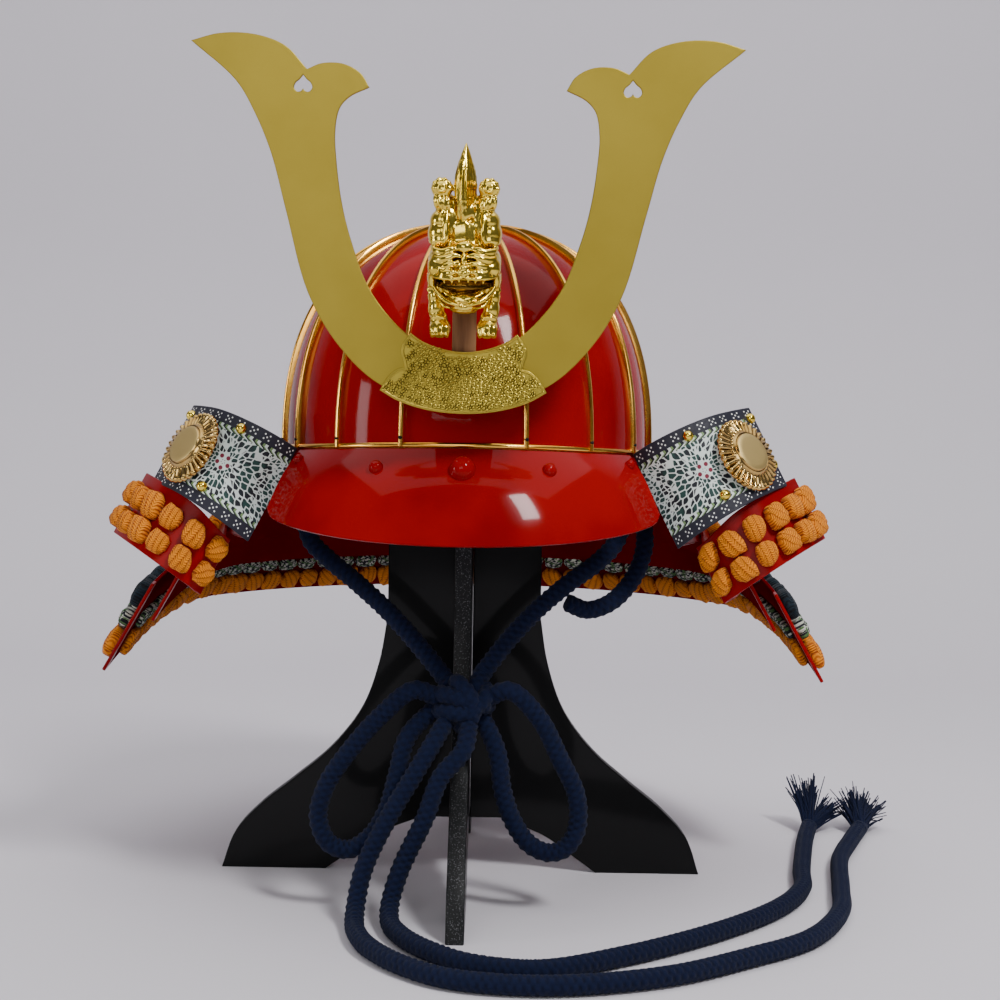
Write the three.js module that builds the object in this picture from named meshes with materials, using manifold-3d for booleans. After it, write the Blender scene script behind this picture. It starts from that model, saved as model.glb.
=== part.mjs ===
// Samurai helmet (kabuto) on a plain crossed-board stand.
// Millimetres, +Z up, the helmet faces -Y, the stand's feet rest on z = 0.
import * as THREE from 'three';
import { mergeVertices } from 'three/addons/utils/BufferGeometryUtils.js';
import Module from 'manifold-3d';

const wasm = await Module();
wasm.setup();

// ---------------------------------------------------------------- driving dimensions
const GAP = 0.3;                       // clearance between neighbouring pieces
const ORIGIN_Y = -22.1;                // moves the origin under the middle of the object
const BOWL = { halfWidth: 107, halfLength: 118, hemZ: 244, rimZ: 256, height: 131, wall: 2, squareness: 2.4, steps: 8 };
const RIB = { count: 16, first: 18, width: 3.4, height: 3, topRadius: 20 };
const TRIM = { height: 2.6, width: 1.6, frontRise: 6 };
const BRIM = { wall: 2, endAngle: 58, halfWidth: 116, reach: 102, centreY: -50, edgeZ: 212, cornerZ: 10, edgeAngle: 70 };
const GUARD = { halfWidth: 113, halfLength: 122, topZ: 257, flare: 0.56, backDrop: 0.8, wall: 2 };
const LAMES = [
  { name: 'neck_lame_1', top: 0, bottom: 50, outset: 0, frontY: -64, flapTop: 0, steps: 26 },
  { name: 'neck_lame_2', top: 25, bottom: 82, outset: 4, frontY: -54, flapTop: 51.5, steps: 26 },
  { name: 'neck_lame_3', top: 57, bottom: 106, outset: 13, frontY: -10, flapTop: null, steps: 22 },
  { name: 'neck_lame_4', top: 84, bottom: 136, outset: 25, frontY: -10, flapTop: null, steps: 22 },
];
// The turned-back flaps: the wearer's right one is bent a little further back than the left.
const FLAP = { innerTilt: -50, arcLength: 58.5, endLength: 29, steps: 8, rise: 9 };
const FLAP_SIDES = {
  left: { outerTilt: 46, endTilt: 56, monAcross: 53, monDown: 27 },
  right: { outerTilt: 57, endTilt: 66, monAcross: 48.5, monDown: 26 },
};
const LEATHER = { wall: 1.5, inset: 2, margin: 1 };
const LACE = { pitch: 16, height: 6.5, valley: 1.2, waist: 0.55 };
const MON = { radius: 21.5, scallops: 16, stand: 5.2 };
const HORN = { y: -140.6, wall: 2 };
const PLATE = { y: -143.4, wall: 1.8, relief: 0.5 };
const PEG = { halfWidth: 6.2, wall: 4, bottom: 285, top: 346 };
const LION_Y = -160;
const BOARD = { wall: 10, half: 46, slotZ: 200, top: 376 };
const CORD = { radius: 5.25, sides: 8 };
const KNOT = { x: 1, y: -78, z: 117, rx: 19, ry: 14, rz: 14.5 };

const radians = THREE.MathUtils.degToRad;
const vec = (x, y, z) => new THREE.Vector3(x, y, z);
const MIRROR = new THREE.Matrix4().makeScale(-1, 1, 1);

// ---------------------------------------------------------------- materials
const metal = (color, roughness) => new THREE.MeshStandardMaterial({ color, roughness, metalness: 1 });
const plain = (color, roughness) => new THREE.MeshStandardMaterial({ color, roughness, metalness: 0 });
const LACQUER = plain(0xb40008, 0.18);
const GILT = metal(0xd89a3c, 0.25);
const SATIN_GOLD = metal(0xa98f35, 0.45);
const BRIGHT_GOLD = metal(0xd6a93c, 0.15);
const WOOD = plain(0x96694b, 0.6);
const ORANGE = plain(0xeb9123, 0.8);
const NAVY = plain(0x141e32, 0.85);
const MOTTLED = plain(0x5a6454, 0.85);
const PRINTED_LEATHER = plain(0x8fa39a, 0.6);
const BLACK_LACQUER = plain(0x0b0c0c, 0.3);

// ---------------------------------------------------------------- solids and meshes
function signedVolume(positions, faces) {
  const corner = (k) => vec().fromArray(positions, 3 * faces[k]);
  let volume = 0;
  for (let k = 0; k < faces.length; k += 3) volume += corner(k).dot(corner(k + 1).cross(corner(k + 2)));
  return volume;
}

// Shared vertices are merged and the faces turned outwards.
function welded(geometry) {
  const bare = new THREE.BufferGeometry();
  bare.setAttribute('position', geometry.getAttribute('position').clone());
  const faceCount = geometry.getAttribute('position').count;
  bare.setIndex(geometry.index ? [...geometry.index.array] : [...Array(faceCount).keys()]);
  const merged = mergeVertices(bare, 1e-4);
  let faces = [...merged.index.array];
  const solidFace = (k) => new Set(faces.slice(k, k + 3)).size === 3;
  faces = faces.filter((_, k) => solidFace(k - (k % 3)));
  if (signedVolume(merged.attributes.position.array, faces) < 0) faces.reverse();
  merged.setIndex(faces);
  return merged;
}

function toSolid(geometry) {
  const bare = welded(geometry);
  return new wasm.Manifold(new wasm.Mesh({
    numProp: 3,
    vertProperties: new Float32Array(bare.attributes.position.array),
    triVerts: new Uint32Array(bare.index.array),
  }));
}

function fromSolid(solid) {
  const mesh = solid.getMesh();
  const geometry = new THREE.BufferGeometry();
  geometry.setAttribute('position', new THREE.BufferAttribute(new Float32Array(mesh.vertProperties), 3));
  geometry.setIndex([...mesh.triVerts]);
  return geometry;
}

const joined = (geometries) => fromSolid(geometries.map(toSolid).reduce((all, next) => all.add(next)));
const cut = (geometry, ...tools) => fromSolid(
  tools.reduce((rest, tool) => rest.subtract(toSolid(tool)), toSolid(geometry)));

const group = new THREE.Group();
group.position.set(0, ORIGIN_Y, 0);

function addMesh(name, geometry, material) {
  const mesh = new THREE.Mesh(welded(geometry), material);
  mesh.name = name;
  group.add(mesh);
  return mesh;
}

// The same piece on both sides: the geometry is the wearer's left, which is +X.
function addPair(name, geometry, material) {
  addMesh(`${name}_left`, geometry, material);
  addMesh(`${name}_right`, geometry.clone().applyMatrix4(MIRROR), material);
}

// A closed wall from a grid of points: grid[i][j] runs along i and down j.
function wallFrom(grid, thickness) {
  const rows = grid.length;
  const cols = grid[0].length;
  const normal = (i, j) => {
    const along = grid[Math.min(i + 1, rows - 1)][j].clone().sub(grid[Math.max(i - 1, 0)][j]);
    const down = grid[i][Math.min(j + 1, cols - 1)].clone().sub(grid[i][Math.max(j - 1, 0)]);
    return along.cross(down).normalize();
  };
  const far = grid.map((line, i) => line.map((p, j) => p.clone().addScaledVector(normal(i, j), thickness)));
  const at = (side, i, j) => (side * rows + i) * cols + j;
  const faces = [];
  const quad = (a, b, c, d) => faces.push(a, b, c, a, c, d);
  for (let i = 0; i < rows - 1; i++) {
    for (let j = 0; j < cols - 1; j++) {
      quad(at(0, i, j), at(0, i, j + 1), at(0, i + 1, j + 1), at(0, i + 1, j));
      quad(at(1, i, j), at(1, i + 1, j), at(1, i + 1, j + 1), at(1, i, j + 1));
    }
    quad(at(0, i, 0), at(0, i + 1, 0), at(1, i + 1, 0), at(1, i, 0));
    quad(at(0, i, cols - 1), at(1, i, cols - 1), at(1, i + 1, cols - 1), at(0, i + 1, cols - 1));
  }
  for (let j = 0; j < cols - 1; j++) {
    quad(at(0, 0, j), at(1, 0, j), at(1, 0, j + 1), at(0, 0, j + 1));
    quad(at(0, rows - 1, j), at(0, rows - 1, j + 1), at(1, rows - 1, j + 1), at(1, rows - 1, j));
  }
  const geometry = new THREE.BufferGeometry();
  geometry.setAttribute('position', new THREE.Float32BufferAttribute([...grid, ...far].flat().flatMap((p) => p.toArray()), 3));
  geometry.setIndex(faces);
  return geometry;
}

// A closed bar from a list of rings, each with the same number of points.
function barFrom(rings) {
  const sides = rings[0].length;
  const faces = [];
  for (let i = 0; i < rings.length - 1; i++) {
    for (let k = 0; k < sides; k++) {
      const next = (k + 1) % sides;
      const [a, b] = [i * sides + k, i * sides + next];
      faces.push(a, b, b + sides, a, b + sides, a + sides);
    }
  }
  const last = (rings.length - 1) * sides;
  for (let k = 1; k < sides - 1; k++) {
    faces.push(0, k + 1, k);
    faces.push(last, last + k, last + k + 1);
  }
  const geometry = new THREE.BufferGeometry();
  geometry.setAttribute('position', new THREE.Float32BufferAttribute(rings.flat().flatMap((p) => p.toArray()), 3));
  geometry.setIndex(faces);
  return geometry;
}

// A turned form standing on z = 0, from a profile of [radius, height] rows.
function turned(profile, segments) {
  const points = profile.map(([radius, height]) => new THREE.Vector2(radius, height));
  return new THREE.LatheGeometry(points, segments).rotateX(Math.PI / 2);
}

// Sets a form that stands on z = 0 on a surface point, along its normal.
function seated(geometry, point, normal) {
  const turn = new THREE.Quaternion().setFromUnitVectors(vec(0, 0, 1), normal);
  return geometry.applyQuaternion(turn).translate(...point.toArray());
}

const rivetHead = (radius, segments) => turned(
  [[0, 0], [radius, 0], [radius * 0.87, radius * 0.5], [radius * 0.5, radius * 0.87], [0, radius]], segments);

// ---------------------------------------------------------------- bowl
// A dome of superelliptic section. grow moves it in or out by that many millimetres.
function domePoint(tilt, grow = 0) {
  const power = 2 / BOWL.squareness;
  const radius = (BOWL.halfWidth + grow) * Math.sin(tilt) ** power;
  return [radius, BOWL.rimZ + (BOWL.height + grow) * Math.max(0, Math.cos(tilt)) ** power];
}

function domeProfile(grow, steps) {
  const half = Math.PI / 2;
  return Array.from({ length: steps + 1 }, (_, k) => domePoint(half * (k / steps), grow));
}

const lengthen = (geometry) => geometry.scale(1, BOWL.halfLength / BOWL.halfWidth, 1);

function bowl() {
  const outer = domeProfile(0, BOWL.steps);
  const inner = domeProfile(-BOWL.wall, BOWL.steps).reverse();
  const hem = [[BOWL.halfWidth, BOWL.hemZ], [BOWL.halfWidth - BOWL.wall, BOWL.hemZ]];
  return lengthen(turned([...outer, ...hem, ...inner], 32));
}

// The bowl as a full body, to shape what is fitted against it.
const bowlBody = () => lengthen(turned([...domeProfile(GAP, BOWL.steps), [BOWL.halfWidth + GAP, 0], [0, 0]], 48));

// ---------------------------------------------------------------- gilt ribs, rim line and crown ring
const trimZ = (angle) => BOWL.rimZ + TRIM.frontRise * Math.max(0, Math.cos(angle)) ** 2;

// A point of the bowl's surface: angle is taken from the front, tilt from the crown.
function bowlSurface(angle, tilt, grow) {
  const [radius, z] = domePoint(tilt, grow);
  const stretch = BOWL.halfLength / BOWL.halfWidth;
  return vec(radius * Math.sin(angle), -radius * stretch * Math.cos(angle), z);
}

function rib(angle) {
  const side = vec(Math.cos(angle), Math.sin(angle), 0).multiplyScalar(RIB.width / 2);
  const rings = Array.from({ length: BOWL.steps }, (_, k) => {
    const tilt = (Math.PI / 2) * ((k + 1) / BOWL.steps);
    const at = (grow) => bowlSurface(angle, tilt, grow).max(vec(-200, -200, trimZ(angle) + 0.5));
    return [at(GAP).sub(side), at(GAP + RIB.height), at(GAP).add(side)];
  });
  const crown = [0, 1, 2].map((k) => bowlSurface(angle, 0, k === 1 ? GAP + RIB.height : GAP).add(side.clone().multiplyScalar(k - 1)));
  rings.unshift(rings[0].map((p, k) => p.clone().lerp(crown[k], 1 - RIB.topRadius / 27.4)));
  return barFrom(rings);
}

function rimLine() {
  const steps = 40;
  const grid = Array.from({ length: steps }, (_, k) => {
    const angle = (2 * Math.PI * k) / steps;
    const at = (grow, z) => bowlSurface(angle, Math.PI / 2, grow).setZ(z);
    const low = trimZ(angle);
    const wide = GAP + TRIM.width;
    return [at(GAP, low), at(wide, low), at(wide, low + TRIM.height), at(GAP, low + TRIM.height)];
  });
  return closedRing(grid);
}

// A closed hoop from sections that follow each other round a loop.
function closedRing(sections) {
  const sides = sections[0].length;
  const total = sections.length;
  const faces = [];
  for (let i = 0; i < total; i++) {
    for (let k = 0; k < sides; k++) {
      const [a, b] = [i * sides + k, i * sides + ((k + 1) % sides)];
      const [c, d] = [((i + 1) % total) * sides + ((k + 1) % sides), ((i + 1) % total) * sides + k];
      faces.push(a, b, c, a, c, d);
    }
  }
  const geometry = new THREE.BufferGeometry();
  geometry.setAttribute('position', new THREE.Float32BufferAttribute(sections.flat().flatMap((p) => p.toArray()), 3));
  geometry.setIndex(faces);
  return geometry;
}

function crownRing() {
  const base = BOWL.rimZ + BOWL.height + GAP;
  return turned([[8, base], [25, base], [24, base + 2.6], [12, base + 5.5], [8, base]], 20);
}

function ribCage() {
  const step = (360 - 2 * RIB.first) / (RIB.count - 1);
  const ribs = Array.from({ length: RIB.count }, (_, k) => rib(radians(RIB.first + k * step)));
  return joined([rimLine(), crownRing(), ...ribs]);
}

addMesh('bowl', bowl(), LACQUER);
addMesh('rib_cage', ribCage(), GILT);

// ---------------------------------------------------------------- brim and its rivets
// across runs from -1 to 1 between the brim's ends, down from 0 at the bowl to 1 at the edge.
function brimPoint(across, down) {
  const topAngle = radians(BRIM.endAngle) * across;
  const top = bowlSurface(topAngle, Math.PI / 2, GAP + BRIM.wall + 0.3).setZ(trimZ(topAngle) - GAP);
  const edgeAngle = radians(BRIM.edgeAngle) * across;
  const corner = Math.max(0, Math.abs(across) - 0.86) / 0.14;
  const edge = vec(
    BRIM.halfWidth * Math.sin(edgeAngle),
    BRIM.centreY - BRIM.reach * Math.cos(edgeAngle),
    BRIM.edgeZ + BRIM.cornerZ * across ** 2 + BRIM.cornerZ * corner ** 2,
  );
  const bulge = Math.sin(Math.PI * down) * 3;
  return top.lerp(edge, down).add(vec(0, -bulge, bulge));
}

function brim() {
  const grid = Array.from({ length: 25 }, (_, i) => [0, 0.33, 0.67, 1].map((down) => brimPoint(i / 12 - 1, down)));
  return wallFrom(grid, BRIM.wall);
}

function brimRivet(across, down, radius) {
  const at = (da, dd) => brimPoint(across + da, down + dd);
  const normal = at(0, 0.05).sub(at(0, -0.05)).cross(at(0.02, 0).sub(at(-0.02, 0))).normalize();
  if (normal.y > 0) normal.negate();
  return seated(rivetHead(radius, 12), at(0, 0).addScaledVector(normal, GAP), normal);
}

addMesh('brim', brim(), LACQUER);
addMesh('brim_rivet_centre', brimRivet(0, 0.26, 6.8), LACQUER);
addPair('brim_rivet_middle', brimRivet(0.4, 0.26, 3.8), LACQUER);
addPair('brim_rivet_side', brimRivet(0.93, 0.2, 2.8), LACQUER);

// ---------------------------------------------------------------- neck guard
// angle is taken from the back; drop is the fall below the guard's top at its front ends.
function guardPoint(angle, drop, outset) {
  const plan = vec(GUARD.halfWidth * Math.sin(angle), GUARD.halfLength * Math.cos(angle), 0);
  const outward = vec(Math.sin(angle) / GUARD.halfWidth, Math.cos(angle) / GUARD.halfLength, 0).normalize();
  const shallow = THREE.MathUtils.lerp(1, GUARD.backDrop, THREE.MathUtils.smoothstep(plan.y, -10, 75));
  return plan.addScaledVector(outward, GUARD.flare * drop + outset).setZ(GUARD.topZ - drop * shallow);
}

const endAngle = (lame) => Math.acos(lame.frontY / GUARD.halfLength);

// The upper edge of a flapped lame is cut down towards its fold.
function topDrop(lame, angle) {
  if (!lame.flapTop) return lame.top;
  return THREE.MathUtils.lerp(lame.top, lame.flapTop, THREE.MathUtils.smoothstep(angle, endAngle(lame) - 0.35, endAngle(lame) - 0.06));
}

// The turned-back flap's section: distances [outwards, towards the front] from the fold.
function flapSection(side) {
  const { outerTilt, endTilt } = FLAP_SIDES[side];
  const section = [[0, 0]];
  const add = (tilt, length) => {
    const [u, f] = section.at(-1);
    section.push([u + length * Math.cos(radians(tilt)), f - length * Math.sin(radians(tilt))]);
  };
  const turn = (outerTilt - FLAP.innerTilt) / FLAP.steps;
  for (let k = 0; k < FLAP.steps; k++) add(FLAP.innerTilt + turn * (k + 0.5), FLAP.arcLength / FLAP.steps);
  add((outerTilt + endTilt) / 2 - 2.5, FLAP.endLength / 2);
  add((outerTilt + endTilt) / 2 + 2.5, FLAP.endLength / 2);
  return section;
}

// How far along a flap a section point lies, from 0 at the fold to 1 at the free edge.
const flapShare = (u, section) => u / section.at(-1)[0];

// The fold line at the +X front end of a lame, and the flap's own axes there.
function flapFrame(lame) {
  const angle = endAngle(lame);
  const top = guardPoint(angle, lame.flapTop, lame.outset);
  const bottom = guardPoint(angle, lame.bottom, lame.outset);
  const down = bottom.clone().sub(top).normalize();
  const across = vec(-down.z, 0, down.x).normalize();
  const front = across.clone().cross(down).normalize();
  if (front.y > 0) front.negate();
  return { top, bottom, down, across, front, height: bottom.distanceTo(top) };
}

const flapPoint = (frame, [u, f], w) => frame.top.clone()
  .addScaledVector(frame.across, u).addScaledVector(frame.front, f).addScaledVector(frame.down, w);

// The edges of a flap at a share of its length: both edges of the second lame's flap rise
// towards the free edge, and only the lower edge of the first lame's.
function flapEdges(row, frame, share) {
  const rise = FLAP.rise * share;
  return row.flapTop === 0 ? [0, frame.height - rise] : [-rise, frame.height - rise];
}

function lameHalf(row, side) {
  const half = [];
  for (let k = 0; k <= row.steps / 2; k++) {
    const angle = endAngle(row) * (k / (row.steps / 2));
    half.push([guardPoint(angle, topDrop(row, angle), row.outset), guardPoint(angle, row.bottom, row.outset)]);
  }
  if (row.flapTop !== null) {
    const frame = flapFrame(row);
    const section = flapSection(side);
    half.push(...section.slice(1).map((s) => flapEdges(row, frame, flapShare(s[0], section)).map((w) => flapPoint(frame, s, w))));
  }
  return half;
}

function lame(row) {
  const mirrored = lameHalf(row, 'right').slice(1).reverse().map((pair) => pair.map((p) => p.applyMatrix4(MIRROR)));
  return wallFrom([...mirrored, ...lameHalf(row, 'left')], GUARD.wall);
}

for (const row of LAMES) addMesh(row.name, lame(row), LACQUER);

// ---------------------------------------------------------------- lacing
// A row of cord bundles joined along a thin thread, between an upper and a lower line.
function laceRow(upper, lower, count, height) {
  const rings = [];
  for (let k = 0; k <= 2 * count; k++) {
    const t = k / (2 * count);
    const [a, b] = [upper.getPointAt(t), lower.getPointAt(t)];
    const bundle = k % 2 === 1;
    const spread = bundle ? 1 : LACE.waist;
    const middle = a.clone().lerp(b, 0.5);
    const out = upper.getTangentAt(t).cross(b.clone().sub(a)).normalize();
    const crest = middle.clone().addScaledVector(out, bundle ? height : LACE.valley);
    rings.push([middle.clone().lerp(a, spread), crest, middle.clone().lerp(b, spread)]);
  }
  return barFrom(rings);
}

function bandLine(lame, drop, reach) {
  const points = Array.from({ length: 25 }, (_, k) => guardPoint(
    reach * (k / 12 - 1), drop, lame.outset + (GUARD.wall + GAP) / Math.cos(Math.atan(GUARD.flare)) + 0.2));
  return new THREE.CatmullRomCurve3(points);
}

const LACE_ROWS = [
  { name: 'lacing_2_upper', lame: 1, from: 27, to: 40, reach: 96, color: ORANGE },
  { name: 'lacing_2_lower', lame: 1, from: 42, to: 55, reach: 101, color: ORANGE },
  { name: 'lacing_3', lame: 2, from: 62, to: 80, reach: 92, color: NAVY },
  { name: 'lacing_4_upper', lame: 3, from: 86, to: 101, reach: 92, color: NAVY },
  { name: 'lacing_4_middle', lame: 3, from: 103, to: 113, reach: 92, color: MOTTLED },
  { name: 'lacing_4_lower', lame: 3, from: 115, to: 131, reach: 92, color: ORANGE },
];
for (const row of LACE_ROWS) {
  const owner = LAMES[row.lame];
  const [upper, lower] = [bandLine(owner, row.from, radians(row.reach)), bandLine(owner, row.to, radians(row.reach))];
  const count = Math.round(upper.getLength() / LACE.pitch);
  addMesh(row.name, laceRow(upper, lower, count, LACE.height), row.color);
}

// The flap's section pushed towards the viewer by a distance.
function raisedSection(side, distance) {
  const section = flapSection(side);
  return section.map(([u, f], k) => {
    const [u0, f0] = section[Math.max(k - 1, 0)];
    const [u1, f1] = section[Math.min(k + 1, section.length - 1)];
    const long = Math.hypot(u1 - u0, f1 - f0);
    return [u - ((f1 - f0) / long) * distance, f + ((u1 - u0) / long) * distance];
  });
}

// A row on the visible face of a flap of the second lame, between two heights on the flap.
function flapLacing(side, from, to) {
  const frame = flapFrame(LAMES[1]);
  const section = raisedSection(side, GAP);
  const line = (w) => new THREE.CatmullRomCurve3(
    section.map((s) => flapPoint(frame, s, w - FLAP.rise * flapShare(s[0], section))).reverse());
  return laceRow(line(from), line(to), 6, LACE.height);
}

// ---------------------------------------------------------------- leather covers, crests and rivets on the flaps
function leatherCover(side) {
  const frame = flapFrame(LAMES[0]);
  const section = raisedSection(side, GAP + 0.1);
  const grid = section.map((s) => {
    const [top, bottom] = flapEdges(LAMES[0], frame, flapShare(s[0], section));
    return [flapPoint(frame, s, top - LEATHER.margin), flapPoint(frame, s, bottom + LEATHER.margin)];
  });
  return wallFrom(grid, -LEATHER.wall);
}

// A point and normal on the leather: across is the seen distance from the fold, down the slant.
function leatherSeat(side, across, down, lift) {
  const frame = flapFrame(LAMES[0]);
  const section = raisedSection(side, 0);
  const k = Math.max(1, section.findIndex(([u]) => u >= across));
  const [[u0, f0], [u1, f1]] = [section[k - 1], section[k]];
  const t = (across - u0) / (u1 - u0);
  const normal = frame.across.clone().multiplyScalar(f0 - f1).addScaledVector(frame.front, u1 - u0).normalize();
  const point = flapPoint(frame, [across, f0 + t * (f1 - f0)], down).addScaledVector(normal, lift);
  return [point, normal];
}

function mon() {
  const radius = MON.radius;
  const body = turned([[0, 0], [radius, 0.6], [radius - 2.5, 3.2], [14, 1.8], [11.5, 5.2], [0, 5.8]],
    2 * MON.scallops);
  const points = body.attributes.position;
  for (let k = 0; k < points.count; k++) {
    const distance = Math.hypot(points.getX(k), points.getY(k));
    const angle = Math.atan2(points.getX(k), points.getY(k));
    const wave = distance > 16 ? 1 + 0.03 * Math.cos(MON.scallops * angle) : 1;
    points.setXY(k, points.getX(k) * wave, points.getY(k) * wave);
  }
  return body;
}

const FLAP_RIVETS = [
  { name: 'flap_rivet_inner_upper', across: 30, down: 5 },
  { name: 'flap_rivet_inner_lower', across: 34, down: 43.5 },
  { name: 'flap_rivet_outer_upper', across: 0.955, down: 6 },
  { name: 'flap_rivet_outer_lower', across: 0.955, down: 35.5 },
];

for (const side of ['left', 'right']) {
  const { monAcross, monDown } = FLAP_SIDES[side];
  const facing = (geometry) => (side === 'left' ? geometry : geometry.applyMatrix4(MIRROR));
  addMesh(`flap_lacing_upper_${side}`, facing(flapLacing(side, 2.5, 17)), ORANGE);
  addMesh(`flap_lacing_lower_${side}`, facing(flapLacing(side, 18.5, 32)), ORANGE);
  addMesh(`flap_leather_${side}`, facing(leatherCover(side)), PRINTED_LEATHER);
  addMesh(`mon_${side}`, facing(seated(mon(), ...leatherSeat(side, monAcross, monDown, MON.stand))), BRIGHT_GOLD);
  for (const { name, across, down } of FLAP_RIVETS) {
    const reach = across > 1 ? across : across * flapSection(side).at(-1)[0];
    const seat = leatherSeat(side, reach, down, LEATHER.wall + 3 * GAP);
    addMesh(`${name}_${side}`, facing(seated(rivetHead(3.1, 8), ...seat)), BRIGHT_GOLD);
  }
}

// ---------------------------------------------------------------- horns
const HORN_EDGES = {
  outer: [[10, 284], [43.3, 294.8], [65, 314.7], [81, 341.4], [92.8, 383.5], [100.5, 412], [108.8, 432], [119, 449], [142, 468.7]],
  upperLobe: [[127, 472.7], [108.8, 472.3], [93.7, 466.9], [82.5, 455.3]],
  innerLobe: [[74.8, 458.4], [63.5, 458.1], [55, 453.5], [50.5, 446.5]],
  inner: [[60.8, 441.4], [65.7, 435.6], [67.8, 423.7], [67, 409], [64.1, 388.3], [59.1, 368.9], [48.9, 343.3], [30.5, 321.6], [10, 309]],
};
const pairs = (rows) => rows.map(([x, z]) => new THREE.Vector2(x, z));

function heartHole(x, z, size) {
  const hole = new THREE.Path();
  hole.moveTo(x, z + 0.55 * size);
  hole.bezierCurveTo(x + 0.3 * size, z + 0.25 * size, x + 0.62 * size, z + 0.1 * size, x + 0.52 * size, z - 0.25 * size);
  hole.bezierCurveTo(x + 0.42 * size, z - 0.55 * size, x + 0.08 * size, z - 0.5 * size, x, z - 0.22 * size);
  hole.bezierCurveTo(x - 0.08 * size, z - 0.5 * size, x - 0.42 * size, z - 0.55 * size, x - 0.52 * size, z - 0.25 * size);
  hole.bezierCurveTo(x - 0.62 * size, z + 0.1 * size, x - 0.3 * size, z + 0.25 * size, x, z + 0.55 * size);
  return hole;
}

// An outline in the XZ plane made a plate whose back stands at y.
function plateAt(shape, y, wall) {
  const geometry = new THREE.ExtrudeGeometry(shape, { depth: wall, bevelEnabled: false, curveSegments: 2 });
  return geometry.rotateX(Math.PI / 2).translate(0, y, 0);
}

function horn() {
  const shape = new THREE.Shape();
  shape.moveTo(...HORN_EDGES.outer[0]);
  shape.splineThru(pairs(HORN_EDGES.outer.slice(1)));
  shape.splineThru(pairs(HORN_EDGES.upperLobe));
  shape.splineThru(pairs(HORN_EDGES.innerLobe));
  shape.splineThru(pairs(HORN_EDGES.inner));
  shape.holes.push(heartHole(84.5, 447.6, 8));
  return plateAt(shape, HORN.y + HORN.wall / 2, HORN.wall);
}
addPair('horn', horn(), SATIN_GOLD);

// ---------------------------------------------------------------- crest base plate, peg and socket
const PLATE_EDGE = [[27.6, 321.6], [31.5, 315.9], [32.3, 311.8], [31, 307.2], [30.2, 303.8]];
const PLATE_FOOT = [[34.1, 302.8], [39, 298.6], [43.2, 291.9]];
const BLOSSOMS = [
  { x: 0, z: 291, size: 5.5 }, { x: 15, z: 294, size: 4.2 }, { x: 29, z: 295, size: 4 },
  { x: 9, z: 303, size: 4.2 }, { x: 24, z: 308, size: 4.2 },
];

function platePath() {
  const shape = new THREE.Shape();
  const flip = (rows) => rows.map(([x, z]) => [-x, z]);
  shape.moveTo(...PLATE_EDGE[0]);
  shape.splineThru(pairs(PLATE_EDGE.slice(1)));
  shape.splineThru(pairs(PLATE_FOOT));
  shape.quadraticCurveTo(24, 280.3, 0, 280.3);
  shape.quadraticCurveTo(-24, 280.3, -43.2, 291.9);
  shape.splineThru(pairs(flip([...PLATE_FOOT.slice(0, -1).reverse(), PLATE_EDGE.at(-1)])));
  shape.splineThru(pairs(flip(PLATE_EDGE.slice(0, -1).reverse())));
  shape.quadraticCurveTo(-14, 312.3, 0, 312.3);
  shape.quadraticCurveTo(14, 312.3, 27.6, 321.6);
  return shape;
}

function blossom({ x, z, size }) {
  const shape = new THREE.Shape();
  for (let k = 0; k < 10; k++) {
    const angle = (2 * Math.PI * k) / 10;
    const reach = size * (k % 2 ? 0.56 : 1);
    shape[k ? 'lineTo' : 'moveTo'](x + reach * Math.sin(angle), z + reach * Math.cos(angle));
  }
  return plateAt(shape, PLATE.y - PLATE.wall / 2 + 0.2, PLATE.relief + 0.2);
}

function basePlate() {
  const sprays = BLOSSOMS.flatMap((row) => (row.x ? [row, { ...row, x: -row.x }] : [row]));
  const base = plateAt(platePath(), PLATE.y + PLATE.wall / 2, PLATE.wall);
  return joined([base, ...sprays.map(blossom)]);
}

function box(x0, x1, y0, y1, z0, z1) {
  return new THREE.BoxGeometry(x1 - x0, y1 - y0, z1 - z0).translate((x0 + x1) / 2, (y0 + y1) / 2, (z0 + z1) / 2);
}

const hornBack = HORN.y + HORN.wall / 2;
const pegBack = HORN.y - HORN.wall / 2 + PEG.wall;
addMesh('crest_base_plate', basePlate(), SATIN_GOLD);
addMesh('crest_peg', box(-PEG.halfWidth, PEG.halfWidth, pegBack - PEG.wall, pegBack, PEG.bottom, PEG.top), WOOD);
addMesh('crest_socket', cut(box(-20, 20, hornBack + GAP, -100, 286, 303),
  box(-PEG.halfWidth - GAP, PEG.halfWidth + GAP, -150, pegBack + GAP, 280, 310), bowlBody()), BLACK_LACQUER);

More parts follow.
